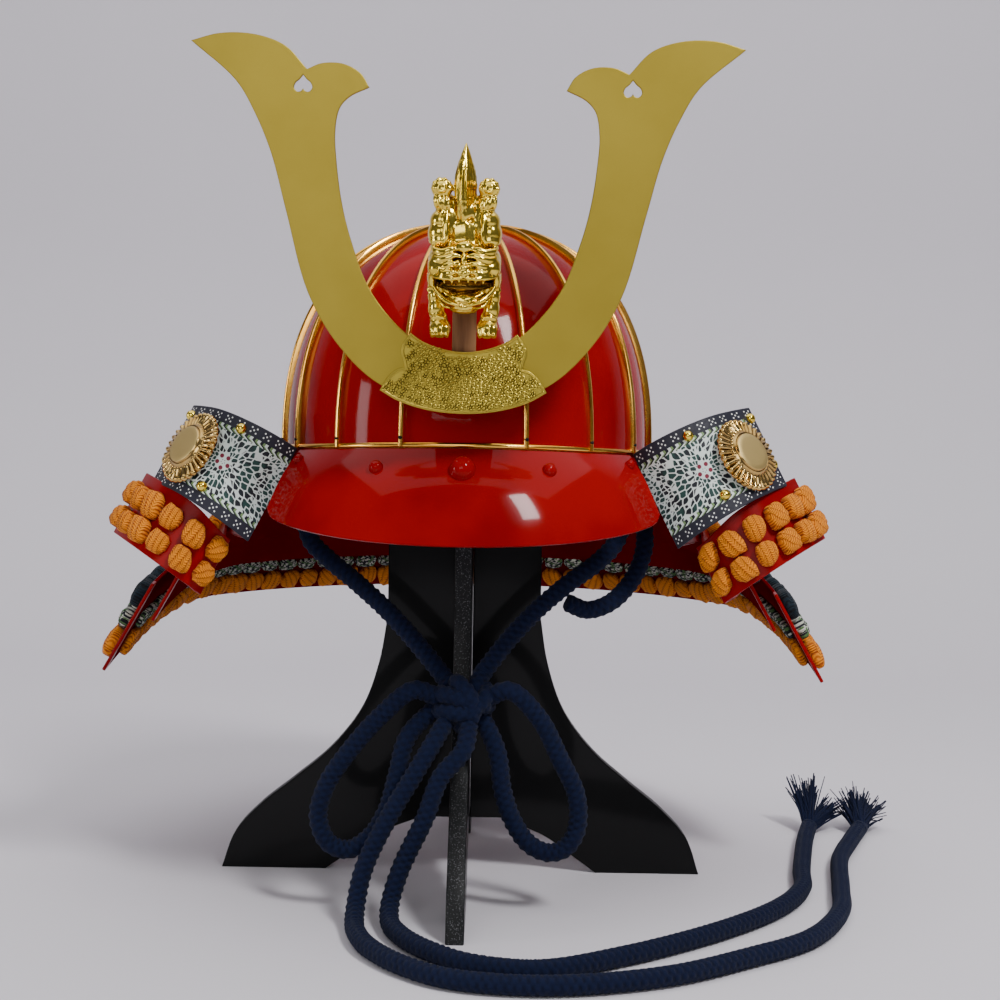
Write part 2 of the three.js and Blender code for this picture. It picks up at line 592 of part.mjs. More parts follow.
// ---------------------------------------------------------------- lion crest
const LION = [
  // where, half sizes; a row with side set stands on both sides
  { x: 0, y: 0, z: 393, rx: 6.2, ry: 4.5, rz: 25 },               // tail
  { x: 11.8, y: -1, z: 391, rx: 6.8, ry: 7, rz: 6.8, side: true },  // hind paws
  { x: 12, y: -1, z: 382, rx: 5.6, ry: 6, rz: 9, side: true },      // hind legs
  { x: 11.6, y: 1, z: 371, rx: 7.4, ry: 9, rz: 10, side: true },      // thighs
  { x: 0, y: 3, z: 372, rx: 13, ry: 10, rz: 15 },                 // back
  { x: 0, y: 2, z: 360, rx: 17, ry: 13, rz: 11 },                 // mane
  { x: 0, y: -3, z: 354, rx: 18.8, ry: 14, rz: 12.5 },            // head
  { x: 0, y: -13, z: 351, rx: 13, ry: 8, rz: 6.5 },               // muzzle
  { x: 0, y: -8, z: 336.5, rx: 12, ry: 10, rz: 5 },                // lower jaw
  { x: 16, y: 4, z: 344, rx: 4, ry: 8, rz: 10, side: true },        // cheeks
  { x: 12.6, y: 2, z: 334, rx: 5.4, ry: 6.5, rz: 13, side: true },  // fore legs
  { x: 12.3, y: -2, z: 325, rx: 6.8, ry: 7.5, rz: 6, side: true },  // fore paws
];

function lion() {
  const lump = ({ y, z, rx, ry, rz }, x) => new THREE.SphereGeometry(1, 8, 5)
    .rotateX(Math.PI / 2).scale(rx, ry, rz).translate(x, LION_Y + y, z);
  const lumps = LION.flatMap((row) => (row.side ? [lump(row, row.x), lump(row, -row.x)] : [lump(row, 0)]));
  const back = box(-6, 6, LION_Y - 4, HORN.y - HORN.wall / 2 - GAP, 330, 380);
  return joined([...lumps, back]);
}
addMesh('lion_crest', lion(), BRIGHT_GOLD);

// ---------------------------------------------------------------- stand
function boardShape() {
  const shape = new THREE.Shape();
  shape.moveTo(24, 33);
  shape.splineThru(pairs([[51, 22], [64.5, 12.5], [82, 0]]));
  shape.lineTo(145, 0);
  shape.splineThru(pairs([[137, 22], [122, 39], [101, 56], [79, 75], [61, 99], [51, 127], [BOARD.half, 156]]));
  shape.lineTo(BOARD.half, BOARD.top - 1);
  shape.quadraticCurveTo(24, BOARD.top + 7, 0, BOARD.top + 7);
  shape.quadraticCurveTo(-24, BOARD.top + 7, -BOARD.half, BOARD.top - 1);
  shape.lineTo(-BOARD.half, 156);
  shape.splineThru(pairs([[-51, 127], [-61, 99], [-79, 75], [-101, 56], [-122, 39], [-137, 22], [-145, 0]]));
  shape.lineTo(-82, 0);
  shape.splineThru(pairs([[-64.5, 12.5], [-51, 22], [-24, 33]]));
  shape.lineTo(24, 33);
  return shape;
}

const board = () => plateAt(boardShape(), BOARD.wall / 2, BOARD.wall);
const slotHalf = BOARD.wall / 2 + GAP;
const lowerSlot = box(-slotHalf, slotHalf, -20, 20, 0, BOARD.slotZ + GAP);
const upperSlot = box(-slotHalf, slotHalf, -20, 20, BOARD.slotZ, 420);
addMesh('stand_side_board', cut(board(), lowerSlot), BLACK_LACQUER);
addMesh('stand_front_board', cut(board(), upperSlot).rotateZ(Math.PI / 2), BLACK_LACQUER);

// ---------------------------------------------------------------- chin cord
const CORD_ROUTES = {
  arm_right: { steps: 6, points: [[-93, -36, 250], [-93, -39, 228], [-89, -45, 205], [-78, -49, 194], [-65, -52, 184],
    [-43, -60, 166], [-25, -67, 148], [-9, -74, 130]] },
  arm_left: { steps: 6, points: [[93, -36, 250], [93, -39, 228], [88, -45, 207], [78.4, -48, 195.7], [61, -53, 183],
    [44, -58, 169], [28, -65, 153], [12, -73, 133]] },
  side_loop: { steps: 7, points: [[96, -8, 250], [99, -14, 234], [104, -23, 218], [105.5, -30, 205], [102, -35, 191],
    [94.5, -40, 179], [84, -44, 170], [71.5, -47, 166.5], [60, -51, 171]] },
  bow_right: { steps: 12, points: [[-13, -83, 121], [-26, -88, 125.5], [-44, -89, 111], [-62, -90, 90], [-74, -90, 71],
    [-78, -90, 53], [-72, -90, 39], [-61, -90, 35.5], [-49, -90, 43], [-40, -90, 58], [-34.5, -90, 78],
    [-29, -87, 99], [-13, -79, 115]] },
  bow_left: { steps: 12, points: [[15, -83, 121], [27.5, -88, 126], [44, -89, 111], [56, -90, 88.5], [65.5, -90, 68],
    [66, -90, 49], [60, -90, 38.5], [51, -90, 35.5], [40, -90, 40], [31, -90, 52], [24.6, -90, 69.5],
    [21, -87, 91], [12, -79, 110]] },
  tail_outer: { steps: 24, points: [[-8, -89, 108], [-14, -97, 98.5], [-23, -102, 83.5], [-38.8, -106, 56.5],
    [-51, -110, 30], [-54.5, -118, 11.5], [-54, -131, 5.6], [-51, -147, 5.5], [-44, -166, 5.5], [-26, -192, 5.5],
    [0, -212, 5.5], [47, -219, 5.5], [105, -203.5, 5.5], [153, -171.5, 5.5], [189, -140.5, 5.5], [213.5, -94, 5.5],
    [223, -48, 5.5], [235, 16, 5.5], [249, 56, 5.5], [262, 90, 5.5]] },
  tail_inner: { steps: 21, points: [[5, -91, 107], [2.5, -101, 95], [-10, -104, 80], [-18, -106, 58], [-31, -107, 29.5],
    [-36, -113, 12.5], [-35.5, -125, 6], [-32, -138, 5.5], [-23, -156.5, 5.5], [-10, -173, 5.5], [9, -189, 5.5],
    [43, -196.5, 5.5], [85, -175, 5.5], [144, -128, 5.5], [182, -85, 5.5], [200, -49, 5.5], [206, -14, 5.5],
    [213, 22, 5.5], [221, 60, 5.5], [229, 92, 5.5]] },
};

const routeOf = (name) => new THREE.CatmullRomCurve3(CORD_ROUTES[name].points.map((p) => vec(...p)));

function tube(name, radius) {
  const ring = new THREE.Shape();
  for (let k = 0; k < CORD.sides; k++) {
    const angle = (2 * Math.PI * k) / CORD.sides;
    ring[k ? 'lineTo' : 'moveTo'](radius * Math.cos(angle), radius * Math.sin(angle));
  }
  return new THREE.ExtrudeGeometry(ring, { steps: CORD_ROUTES[name].steps, extrudePath: routeOf(name), bevelEnabled: false });
}

const knotLump = (x, y, z, rx, ry, rz) => new THREE.SphereGeometry(1, 8, 6)
  .scale(rx, rz, ry).rotateX(Math.PI / 2).translate(KNOT.x + x, KNOT.y + y, KNOT.z + z);
const knotBody = (grow) => joined([
  knotLump(0, 0, 0, KNOT.rx - 3 + grow, KNOT.ry + grow, KNOT.rz + grow),
  knotLump(-7, -3, 3, 12 + grow, 12 + grow, 9 + grow),
  knotLump(8, -3, 2, 11 + grow, 12 + grow, 9 + grow),
]);

addMesh('cord_knot', knotBody(0), NAVY);
for (const name of ['arm_right', 'arm_left', 'bow_right', 'bow_left', 'tail_outer', 'tail_inner']) {
  addMesh(`cord_${name}`, cut(tube(name, CORD.radius), knotBody(GAP)), NAVY);
}
addMesh('cord_side_loop', cut(tube('side_loop', CORD.radius), tube('arm_left', CORD.radius + GAP)), NAVY);

// The frayed ends: flattened tufts that lie past the cord's end and widen.
function tassel(name, length, width) {
  const route = routeOf(name);
  const [end, way] = [route.getPoint(1), route.getTangent(1)];
  const form = turned([[0, 0], [5, 0], [width * 0.8, length * 0.55], [width, length * 0.85], [width * 0.7, length], [0, length]], 10)
    .scale(1, 0.72, 1);
  const heading = Math.atan2(way.x, way.y);
  form.rotateX(-Math.PI / 2).rotateZ(-heading);
  form.computeBoundingBox();
  return form.translate(end.x + GAP * way.x, end.y + GAP * way.y, -form.boundingBox.min.z + 0.2);
}
addMesh('tassel_outer', tassel('tail_outer', 44, 14), NAVY);
addMesh('tassel_inner', tassel('tail_inner', 44, 13), NAVY);

export default group;
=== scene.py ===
import math
import random

import bmesh
import bpy
from mathutils import Matrix, Vector


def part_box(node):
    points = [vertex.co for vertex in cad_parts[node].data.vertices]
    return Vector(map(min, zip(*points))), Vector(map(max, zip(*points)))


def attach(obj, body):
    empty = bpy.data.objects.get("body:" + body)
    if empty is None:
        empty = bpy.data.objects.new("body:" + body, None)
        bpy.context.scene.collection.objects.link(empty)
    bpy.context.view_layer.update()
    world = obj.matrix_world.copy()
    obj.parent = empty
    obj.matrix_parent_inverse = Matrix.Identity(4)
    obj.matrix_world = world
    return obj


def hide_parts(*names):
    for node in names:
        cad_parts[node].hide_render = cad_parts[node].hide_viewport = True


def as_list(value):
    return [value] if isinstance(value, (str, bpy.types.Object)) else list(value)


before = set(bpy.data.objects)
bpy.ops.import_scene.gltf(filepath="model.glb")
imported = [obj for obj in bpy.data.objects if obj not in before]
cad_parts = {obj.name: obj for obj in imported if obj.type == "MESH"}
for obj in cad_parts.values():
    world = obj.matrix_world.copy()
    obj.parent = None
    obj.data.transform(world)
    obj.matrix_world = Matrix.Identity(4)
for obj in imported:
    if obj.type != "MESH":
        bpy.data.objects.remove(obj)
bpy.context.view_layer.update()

# The pieces are worked in millimetres from the bowl's own axis, facing -Y,
# and brought to metres and to the frame's origin when each is finished.
MM = 0.001
bowl_low, bowl_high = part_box("bowl")
AXIS_Y = (bowl_low[1] + bowl_high[1]) / 2
TAU = 2 * math.pi

# ------------------------------------------------------------------ the helmet's sizes
GAP = 0.3
BOWL_HALF_WIDTH, BOWL_HALF_LENGTH = 107.0, 118.0
HEM_Z, RIM_Z, BOWL_HEIGHT, BOWL_WALL, SQUARENESS = 244.0, 256.0, 131.0, 2.0, 2.4
RIB_COUNT, FIRST_RIB, CROWN_TILT, RIB_HALF_WIDTH, RIB_HEIGHT = 16, 18.0, 0.14, 1.2, 3.3
TRIM_RISE = 6.0
BRIM_WALL, BRIM_HALF_WIDTH, BRIM_REACH, BRIM_CENTRE_Y, BRIM_EDGE_Z = 2.0, 116.0, 102.0, -50.0, 212.0
BRIM_END_ANGLE, BRIM_EDGE_ANGLE = 58.0, 70.0
GUARD_HALF_WIDTH, GUARD_HALF_LENGTH, GUARD_TOP = 113.0, 122.0, 257.0
FLARE, BACK_DROP, GUARD_WALL = 0.56, 0.8, 2.0
LAMES = {
    "neck_lame_1": dict(top=0, bottom=50, outset=0, front=-64, flap_top=0),
    "neck_lame_2": dict(top=25, bottom=82, outset=4, front=-54, flap_top=51.5),
    "neck_lame_3": dict(top=57, bottom=106, outset=13, front=-10, flap_top=None),
    "neck_lame_4": dict(top=84, bottom=136, outset=25, front=-10, flap_top=None),
}
FLAP_INNER_TILT, FLAP_ARC, FLAP_END, FLAP_RISE = -50.0, 58.5, 29.0, 9.0
FLAPS = {
    "left": dict(sign=1, outer=46, end=56, mon=(53, 27)),
    "right": dict(sign=-1, outer=57, end=66, mon=(48.5, 26)),
}
LEATHER_WALL, LEATHER_HEIGHT, LACE_PITCH = 1.5, 57.0, 16
HORN_Y, HORN_WALL, PLATE_Y, PLATE_WALL, LION_Y = -140.6, 2.0, -143.4, 1.8, -160.0
BOARD_WALL, BOARD_TOP, BOARD_HALF, SLOT_HALF = 10.0, 382.6, 46, 5.3
CORD_RADIUS = 5.25


# ------------------------------------------------------------------ small helpers
def lerp(a, b, t):
    return a + (b - a) * t


def smooth(value, low, high):
    t = min(1.0, max(0.0, (value - low) / (high - low)))
    return t * t * (3 - 2 * t)


def spline(points):
    """A smooth curve through a few points, as a function of 0 to 1 along it."""
    points = [Vector(p) for p in points]
    points = [2 * points[0] - points[1], *points, 2 * points[-1] - points[-2]]
    spans = len(points) - 3

    def at(t):
        k = min(spans - 1, max(0, int(t * spans)))
        s = t * spans - k
        p0, p1, p2, p3 = points[k:k + 4]
        d0 = max(1e-6, (p1 - p0).length) ** 0.5
        d1 = max(1e-6, (p2 - p1).length) ** 0.5
        d2 = max(1e-6, (p3 - p2).length) ** 0.5
        m1 = ((p1 - p0) / d0 - (p2 - p0) / (d0 + d1) + (p2 - p1) / d1) * d1
        m2 = ((p2 - p1) / d1 - (p3 - p1) / (d1 + d2) + (p3 - p2) / d2) * d1
        a = 2 * p1 - 2 * p2 + m1 + m2
        b = -3 * p1 + 3 * p2 - 2 * m1 - m2
        return ((a * s + b) * s + m1) * s + p1
    return at


def even_points(at, count, samples=600):
    """Points at equal distances along a curve."""
    line = [at(k / samples) for k in range(samples + 1)]
    reach = [0.0]
    for a, b in zip(line, line[1:]):
        reach.append(reach[-1] + (b - a).length)
    result, k = [], 0
    for i in range(count + 1):
        goal = reach[-1] * i / count
        while k < samples - 1 and reach[k + 1] < goal:
            k += 1
        span = max(1e-9, reach[k + 1] - reach[k])
        result.append(line[k].lerp(line[k + 1], min(1.0, (goal - reach[k]) / span)))
    return result, reach[-1]


# ------------------------------------------------------------------ mesh helpers
def grid(across, down, place, uv=None):
    """A sheet of across by down faces, each point put where place(u, v) says."""
    bm = bmesh.new()
    bmesh.ops.create_grid(bm, x_segments=across, y_segments=down, size=0.5)
    layer = bm.loops.layers.uv.new("UVMap")
    for face in bm.faces:
        for loop in face.loops:
            u, v = loop.vert.co.x + 0.5, loop.vert.co.y + 0.5
            loop[layer].uv = uv(u, v) if uv else (u, v)
    for vert in bm.verts:
        vert.co = place(vert.co.x + 0.5, vert.co.y + 0.5)
    return bm


def frames(points):
    """A point, tangent, side and up for each step of a path, without twist."""
    result = []
    side = None
    last = len(points) - 1
    for k, point in enumerate(points):
        tangent = (points[min(k + 1, last)] - points[max(k - 1, 0)]).normalized()
        if side is None:
            side = tangent.orthogonal().normalized()
        side = (side - tangent * side.dot(tangent)).normalized()
        result.append((point, tangent, side, tangent.cross(side)))
    return result


def tube(points, sides, radius):
    """A closed tube round a path: radius(distance along, turn) gives its surface.

    Its UVs are the distance along in units of 100 mm, and the turn round it from 0 to 1.
    """
    steps = len(points) - 1
    rows = frames(points)
    reach = [0.0]
    for a, b in zip(points, points[1:]):
        reach.append(reach[-1] + (b - a).length)

    def place(u, v):
        k = round(u * steps)
        point, _, side, up = rows[k]
        turn = v * TAU
        return point + (side * math.cos(turn) + up * math.sin(turn)) * radius(reach[k], v)

    bm = grid(steps, sides, place, uv=lambda u, v: (reach[round(u * steps)] / 100, v))
    bmesh.ops.remove_doubles(bm, verts=bm.verts, dist=1e-5)
    return closed(bm)


def closed(bm):
    """Fills what is open in a form, and turns its faces outwards."""
    bmesh.ops.holes_fill(bm, edges=[e for e in bm.edges if e.is_boundary])
    bmesh.ops.recalc_face_normals(bm, faces=bm.faces)
    return bm


def line_tube(points, radius, sides=6):
    return tube([Vector(p) for p in points], sides, lambda reach, turn: radius)


def merged(bm, distance=1e-4):
    """Joins what touches in a closed form, and turns its faces outwards."""
    bmesh.ops.remove_doubles(bm, verts=bm.verts, dist=distance)
    bmesh.ops.recalc_face_normals(bm, faces=bm.faces)
    return bm


def ball(centre, radii, turn=None, u=20, v=14):
    """An ellipsoid, turned about its own middle."""
    bm = bmesh.new()
    bmesh.ops.create_uvsphere(bm, u_segments=u, v_segments=v, radius=1)
    bmesh.ops.scale(bm, vec=radii, verts=bm.verts)
    if turn is not None:
        bmesh.ops.rotate(bm, cent=(0, 0, 0), matrix=turn.to_3x3(), verts=bm.verts)
    bmesh.ops.translate(bm, vec=centre, verts=bm.verts)
    return bm


def turned(profile, segments):
    """A solid of revolution about Z from [radius, height] pairs that start and end on the axis."""
    bm = bmesh.new()
    verts = [bm.verts.new((r, 0, z)) for r, z in profile]
    edges = [bm.edges.new(pair) for pair in zip(verts, verts[1:])]
    bmesh.ops.spin(bm, geom=verts + edges, cent=(0, 0, 0), axis=(0, 0, 1),
                   angle=TAU, steps=segments, use_merge=True)
    return merged(bm)


def block(x0, x1, y0, y1, z0, z1):
    bm = bmesh.new()
    bmesh.ops.create_cube(bm, size=1)
    bmesh.ops.scale(bm, vec=(x1 - x0, y1 - y0, z1 - z0), verts=bm.verts)
    bmesh.ops.translate(bm, vec=((x0 + x1) / 2, (y0 + y1) / 2, (z0 + z1) / 2), verts=bm.verts)
    return bm


def mesh_of(name, bm):
    """A mesh from a bmesh, which is used up."""
    mesh = bpy.data.meshes.new(name)
    bm.to_mesh(mesh)
    bm.free()
    return mesh


def added(name, data):
    """An object of the scene round a mesh, curve, lamp or camera."""
    item = bpy.data.objects.new(name, data)
    bpy.context.collection.objects.link(item)
    return item


def applied(item):
    """An object's final form as a bmesh; the object is used up."""
    mesh = bpy.data.meshes.new_from_object(item.evaluated_get(bpy.context.evaluated_depsgraph_get()))
    bpy.data.objects.remove(item)
    bm = bmesh.new()
    bm.from_mesh(mesh)
    bpy.data.meshes.remove(mesh)
    return bm


def join(parts):
    """Several bmeshes as one; each is used up."""
    whole = bmesh.new()
    whole.loops.layers.uv.new("UVMap")
    for part in parts:
        mesh = mesh_of("part", part)
        whole.from_mesh(mesh)
        bpy.data.meshes.remove(mesh)
    return whole


def mirrored(bm):
    copy = bm.copy()
    bmesh.ops.scale(copy, vec=(-1, 1, 1), verts=copy.verts)
    bmesh.ops.reverse_faces(copy, faces=copy.faces)
    return copy


def walled(bm, wall, facing, chosen=lambda face: True):
    """Gives an open sheet a wall, once its chosen faces point along Y by facing, which is 1 or -1."""
    for face in bm.faces:
        face.normal_update()
    if facing * sum(face.normal.y for face in bm.faces if chosen(face)) < 0:
        bmesh.ops.reverse_faces(bm, faces=bm.faces)
    bmesh.ops.solidify(bm, geom=bm.faces, thickness=wall)
    bmesh.ops.recalc_face_normals(bm, faces=bm.faces)
    return bm


def seat(bm, point, normal):
    """Moves a form that stands on Z = 0 onto a surface point, its Z along the normal."""
    z = Vector(normal).normalized()
    x = Vector((0, 0, 1)).cross(z)
    x = x.normalized() if x.length > 1e-6 else z.orthogonal().normalized()
    turn = Matrix((x, z.cross(x), z)).transposed()
    bmesh.ops.rotate(bm, cent=(0, 0, 0), matrix=turn, verts=bm.verts)
    bmesh.ops.translate(bm, vec=point, verts=bm.verts)
    return bm


def flat_solid(loops, wall, bevel, back_y):
    """A plate with rounded edges from closed outlines in XZ; its back stands at back_y."""
    curve = bpy.data.curves.new("outline", "CURVE")
    curve.dimensions = "2D"
    curve.fill_mode = "BOTH"
    curve.extrude = wall / 2 - bevel
    curve.bevel_depth = bevel
    curve.bevel_resolution = 2
    curve.offset = -bevel
    for loop in loops:
        line = curve.splines.new("POLY")
        line.points.add(len(loop) - 1)
        for point, (x, z) in zip(line.points, loop):
            point.co = (x, z, 0, 1)
        line.use_cyclic_u = True
    bm = applied(added("outline", curve))
    bmesh.ops.remove_doubles(bm, verts=bm.verts, dist=1e-4)
    bmesh.ops.rotate(bm, cent=(0, 0, 0), matrix=Matrix.Rotation(math.pi / 2, 3, "X"), verts=bm.verts)
    bmesh.ops.translate(bm, vec=(0, back_y - wall / 2, 0), verts=bm.verts)
    bmesh.ops.recalc_face_normals(bm, faces=bm.faces)
    return bm


def outline(*runs, steps=8):
    """A closed outline from runs of points: smooth inside a run, with a corner where two runs meet."""
    loop = []
    for run in runs:
        if len(run) == 2:
            loop.append(Vector(run[0]))
            continue
        at = spline(run)
        count = steps * (len(run) - 1)
        loop.extend(at(k / count) for k in range(count))
    return loop


def piece(name, bm, material, slot, *nodes, sharp=35, bevel=0.0, planes=False):
    """Finishes a piece: metres, the frame's place, smooth faces, sharp edges and its body; the slot is not
    used.

    Where planes is true, faces that look straight along an axis stay flat.
    """
    bmesh.ops.scale(bm, vec=(MM, MM, MM), verts=bm.verts)
    bmesh.ops.translate(bm, vec=(0, AXIS_Y, 0), verts=bm.verts)
    for face in bm.faces:
        face.normal_update()
        face.smooth = not (planes and max(map(abs, face.normal)) > 0.9995)
    limit = math.radians(sharp)
    for edge in bm.edges:
        edge.smooth = not (len(edge.link_faces) == 2 and edge.calc_face_angle(0) > limit)
    mesh = mesh_of(name, bm)
    mesh.materials.append(material)
    item = added(name, mesh)
    if bevel:
        edge_round = item.modifiers.new("edge", "BEVEL")
        edge_round.width = bevel * MM
        edge_round.segments = 2
        edge_round.limit_method = "ANGLE"
        edge_round.angle_limit = math.radians(40)
    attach(item, "root")
    if nodes:
        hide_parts(*nodes)
    return item


# ------------------------------------------------------------------ camera
def add_camera():
    data = bpy.data.cameras.new("camera")
    data.sensor_width = 36.0
    data.lens = 62.64
    camera = added("camera", data)
    bearing, roll, distance, height = math.radians(1.0), math.radians(1.0), 1045.0, 299.0
    place = Vector((distance * math.sin(bearing), -distance * math.cos(bearing), height))
    forward = (Vector((20.3, 0, 226)) - place).normalized()
    right = forward.cross(Vector((0, 0, 1))).normalized()
    up = right.cross(forward)
    x = right * math.cos(roll) + up * math.sin(roll)
    y = up * math.cos(roll) - right * math.sin(roll)
    turn = Matrix((x, y, -forward)).transposed().to_4x4()
    camera.matrix_world = Matrix.Translation(place * MM + Vector((0, AXIS_Y, 0))) @ turn
    bpy.context.scene.camera = camera


add_camera()


# ------------------------------------------------------------------ shader arithmetic
class Value:
    """A number that varies over a surface; arithmetic on it adds Math nodes."""

    def __init__(self, finish, socket):
        self.finish = finish
        self.socket = socket

    def math(self, operation, *others, first=None):
        node = self.finish.tree.nodes.new("ShaderNodeMath")
        node.operation = operation
        items = (self, *others) if first is None else (first, self)
        for socket, item in zip(node.inputs, items):
            self.finish.feed(socket, item)
        return Value(self.finish, node.outputs[0])

    def __add__(self, other): return self.math("ADD", other)
    def __sub__(self, other): return self.math("SUBTRACT", other)
    def __mul__(self, other): return self.math("MULTIPLY", other)
    def __truediv__(self, other): return self.math("DIVIDE", other)
    def __pow__(self, other): return self.math("POWER", other)
    def __radd__(self, other): return self.math("ADD", other)
    def __rmul__(self, other): return self.math("MULTIPLY", other)
    def __rsub__(self, other): return self.math("SUBTRACT", first=other)
    def __lt__(self, other): return self.math("LESS_THAN", other)
    def __gt__(self, other): return self.math("GREATER_THAN", other)
    def __abs__(self): return self.math("ABSOLUTE")

    def fraction(self): return self.math("FRACT")
    def least(self, other): return self.math("MINIMUM", other)
    def most(self, other): return self.math("MAXIMUM", other)

    def ease(self, low, high):
        """0 up to low and 1 from high, with a smooth step between."""
        return self.finish.node("MapRange", dict(interpolation_type="SMOOTHSTEP"), {
            "Value": self, "From Min": low, "From Max": high})["Result"]


class Finish:
    """One material round a Principled shader; varying() feeds what changes over the surface."""

    def __init__(self, name, **constants):
        self.material = bpy.data.materials.new(name)
        self.material.use_nodes = True
        self.tree = self.material.node_tree
        self.shader = self.tree.nodes["Principled BSDF"]
        for socket, value in constants.items():
            self.shader.inputs[socket.replace("_", " ")].default_value = value

    def feed(self, socket, item):
        if isinstance(item, Value):
            self.tree.links.new(item.socket, socket)
        elif item is not None:
            socket.default_value = item

    def node(self, kind, settings=None, inputs=None):
        """A shader node with its settings and inputs, given back as its outputs by name."""
        made = self.tree.nodes.new("ShaderNode" + kind)
        for key, value in (settings or {}).items():
            setattr(made, key, value)
        for key, item in (inputs or {}).items():
            self.feed(made.inputs[key], item)
        return {out.name: Value(self, out) for out in made.outputs if out.enabled}

    def uv(self):
        parts = self.node("SeparateXYZ", {}, {"Vector": self.node("TexCoord")["UV"]})
        return parts["X"], parts["Y"]

    def vector(self, x, y):
        return self.node("CombineXYZ", {}, {"X": x, "Y": y})["Vector"]

    def noise(self, scale, detail=3.0, stretch=(1, 1, 1), where=None):
        """A cloudy number on the object's own coordinates, or on those given."""
        if where is None:
            along = self.node("TexCoord")["Object"]
            where = self.node("Mapping", {}, {"Vector": along, "Scale": stretch})["Vector"]
        return self.node("TexNoise", {}, {"Vector": where, "Scale": scale, "Detail": detail})["Fac"]

    def pointiness(self, low, high):
        return self.node("NewGeometry")["Pointiness"].ease(low, high)

    def open_sky(self, distance, low, high):
        """1 where a surface is open, and 0 deep in its hollows; it masks the shade painted into hollows."""
        shade = self.node("AmbientOcclusion", dict(samples=6), {"Distance": distance * MM})
        return shade["AO"].ease(low, high)

    def blend(self, factor, a, b):
        """A colour between a and b; each is a triple or an earlier colour."""
        made = self.tree.nodes.new("ShaderNodeMix")
        made.data_type = "RGBA"
        self.feed(made.inputs[0], factor)
        for socket, item in ((made.inputs[6], a), (made.inputs[7], b)):
            self.feed(socket, item if isinstance(item, Value) else (*item, 1))
        return Value(self, made.outputs[2])

    def varying(self, **links):
        for socket, item in links.items():
            self.feed(self.shader.inputs[socket.replace("_", " ")], item)
        return self

    def relief(self, height, distance, strength=1.0):
        made = self.node("Bump", {}, {"Height": height, "Distance": distance * MM, "Strength": strength})
        self.feed(self.shader.inputs["Normal"], made["Normal"])
        return self


# ------------------------------------------------------------------ finishes
def red_lacquer(name, light, dark, coat, gloss, rough):
    f = Finish(name, Coat_Weight=coat, Coat_Roughness=0.03, IOR=1.45, Specular_IOR_Level=gloss)
    cloud, grain = f.noise(14, 3), f.noise(900, 2)
    f.varying(
        Base_Color=f.blend(cloud.ease(0.35, 0.7), light, dark),
        Roughness=rough + cloud.ease(0.4, 0.8) * 0.07 + grain * 0.03)
    f.relief(f.noise(60, 2) * 0.6 + grain * 0.05, 0.12, 0.35)
    return f.material


def gilt():
    f = Finish("gilt", Metallic=1.0)
    cloud, fine = f.noise(60, 4), f.noise(700, 3)
    f.varying(
        Base_Color=f.blend(cloud.ease(0.35, 0.7), (0.94, 0.52, 0.10), (0.80, 0.36, 0.05)),
        Roughness=0.17 + fine * 0.08)
    return f.relief(fine, 0.03, 0.2).material


def satin_gold(name, light, dark, rough):
    f = Finish(name, Metallic=1.0)
    cloud, grain = f.noise(25, 3), f.noise(2600, 3)
    f.varying(
        Base_Color=f.blend(cloud.ease(0.3, 0.75), light, dark),
        Roughness=rough + grain * 0.16)
    return f.relief(grain, 0.08, 0.6).material


def polished_gold(name, light, dark, hollow_shade, wear=1.0):
    """Polished gold with shade painted into its hollows and creases, and a worn, uneven polish."""
    f = Finish(name, Metallic=1.0)
    # Pointiness and ambient occlusion find the creases and hollows, which take the third, darker colour:
    # painted shade.
    edge = f.pointiness(0.42, 0.52)
    open_sky = f.open_sky(4, 0.1, 0.55)
    cloud, fine = f.noise(120, 4), f.noise(900, 3)
    worn = f.blend(cloud.ease(0.35, 0.7), light, dark)
    f.varying(
        Base_Color=f.blend(open_sky.least(edge), hollow_shade, worn),
        Roughness=0.24 - edge * 0.12 + fine * 0.08)
    return f.relief(cloud * 0.7 + fine * 0.3, 0.08 * wear, 0.4 * wear).material


def relief_gold():
    """The plate's satin gold, with shade painted into the hollows between its blossoms."""
    f = Finish("relief_gold", Metallic=1.0)
    # Ambient occlusion darkens the hollows to a deep brown: painted shade.
    open_sky = f.open_sky(1.3, 0.3, 0.9)
    grain = f.noise(2600, 3)
    f.varying(
        Base_Color=f.blend(open_sky, (0.085, 0.058, 0.006), (0.46, 0.35, 0.052)),
        Roughness=0.34 + grain * 0.14)
    return f.relief(grain, 0.06, 0.5).material


def brown_wood():
    f = Finish("brown_wood", Specular_IOR_Level=0.2)
    grain = f.noise(180, 5, stretch=(1, 1, 0.12))
    f.varying(
        Base_Color=f.blend(grain.ease(0.3, 0.7), (0.12, 0.050, 0.020), (0.25, 0.120, 0.052)),
        Roughness=0.5 + grain * 0.2)
    return f.relief(grain, 0.15, 0.6).material


def black_lacquer():
    f = Finish("black_lacquer", Coat_Weight=0.15, Coat_Roughness=0.08, Specular_IOR_Level=0.12)
    cloud, grain = f.noise(30, 4), f.noise(700, 3)
    f.varying(
        Base_Color=f.blend(cloud, (0.0015, 0.0016, 0.0018), (0.003, 0.0032, 0.0033)),
        Roughness=0.24 + cloud * 0.12 + grain * 0.06)
    return f.relief(grain * 0.6 + cloud, 0.1, 0.35).material


def board_edge():
    """The sawn edge of a board: dark grey, speckled, with brighter wear."""
    f = Finish("board_edge", Specular_IOR_Level=0.2)
    speck, cloud = f.noise(1400, 2), f.noise(120, 4)
    f.varying(
        Base_Color=f.blend(speck.ease(0.60, 0.68), (0.006, 0.0065, 0.007), (0.11, 0.11, 0.12)),
        Roughness=0.38 + cloud * 0.2)
    return f.relief(speck + cloud, 0.12, 0.6).material


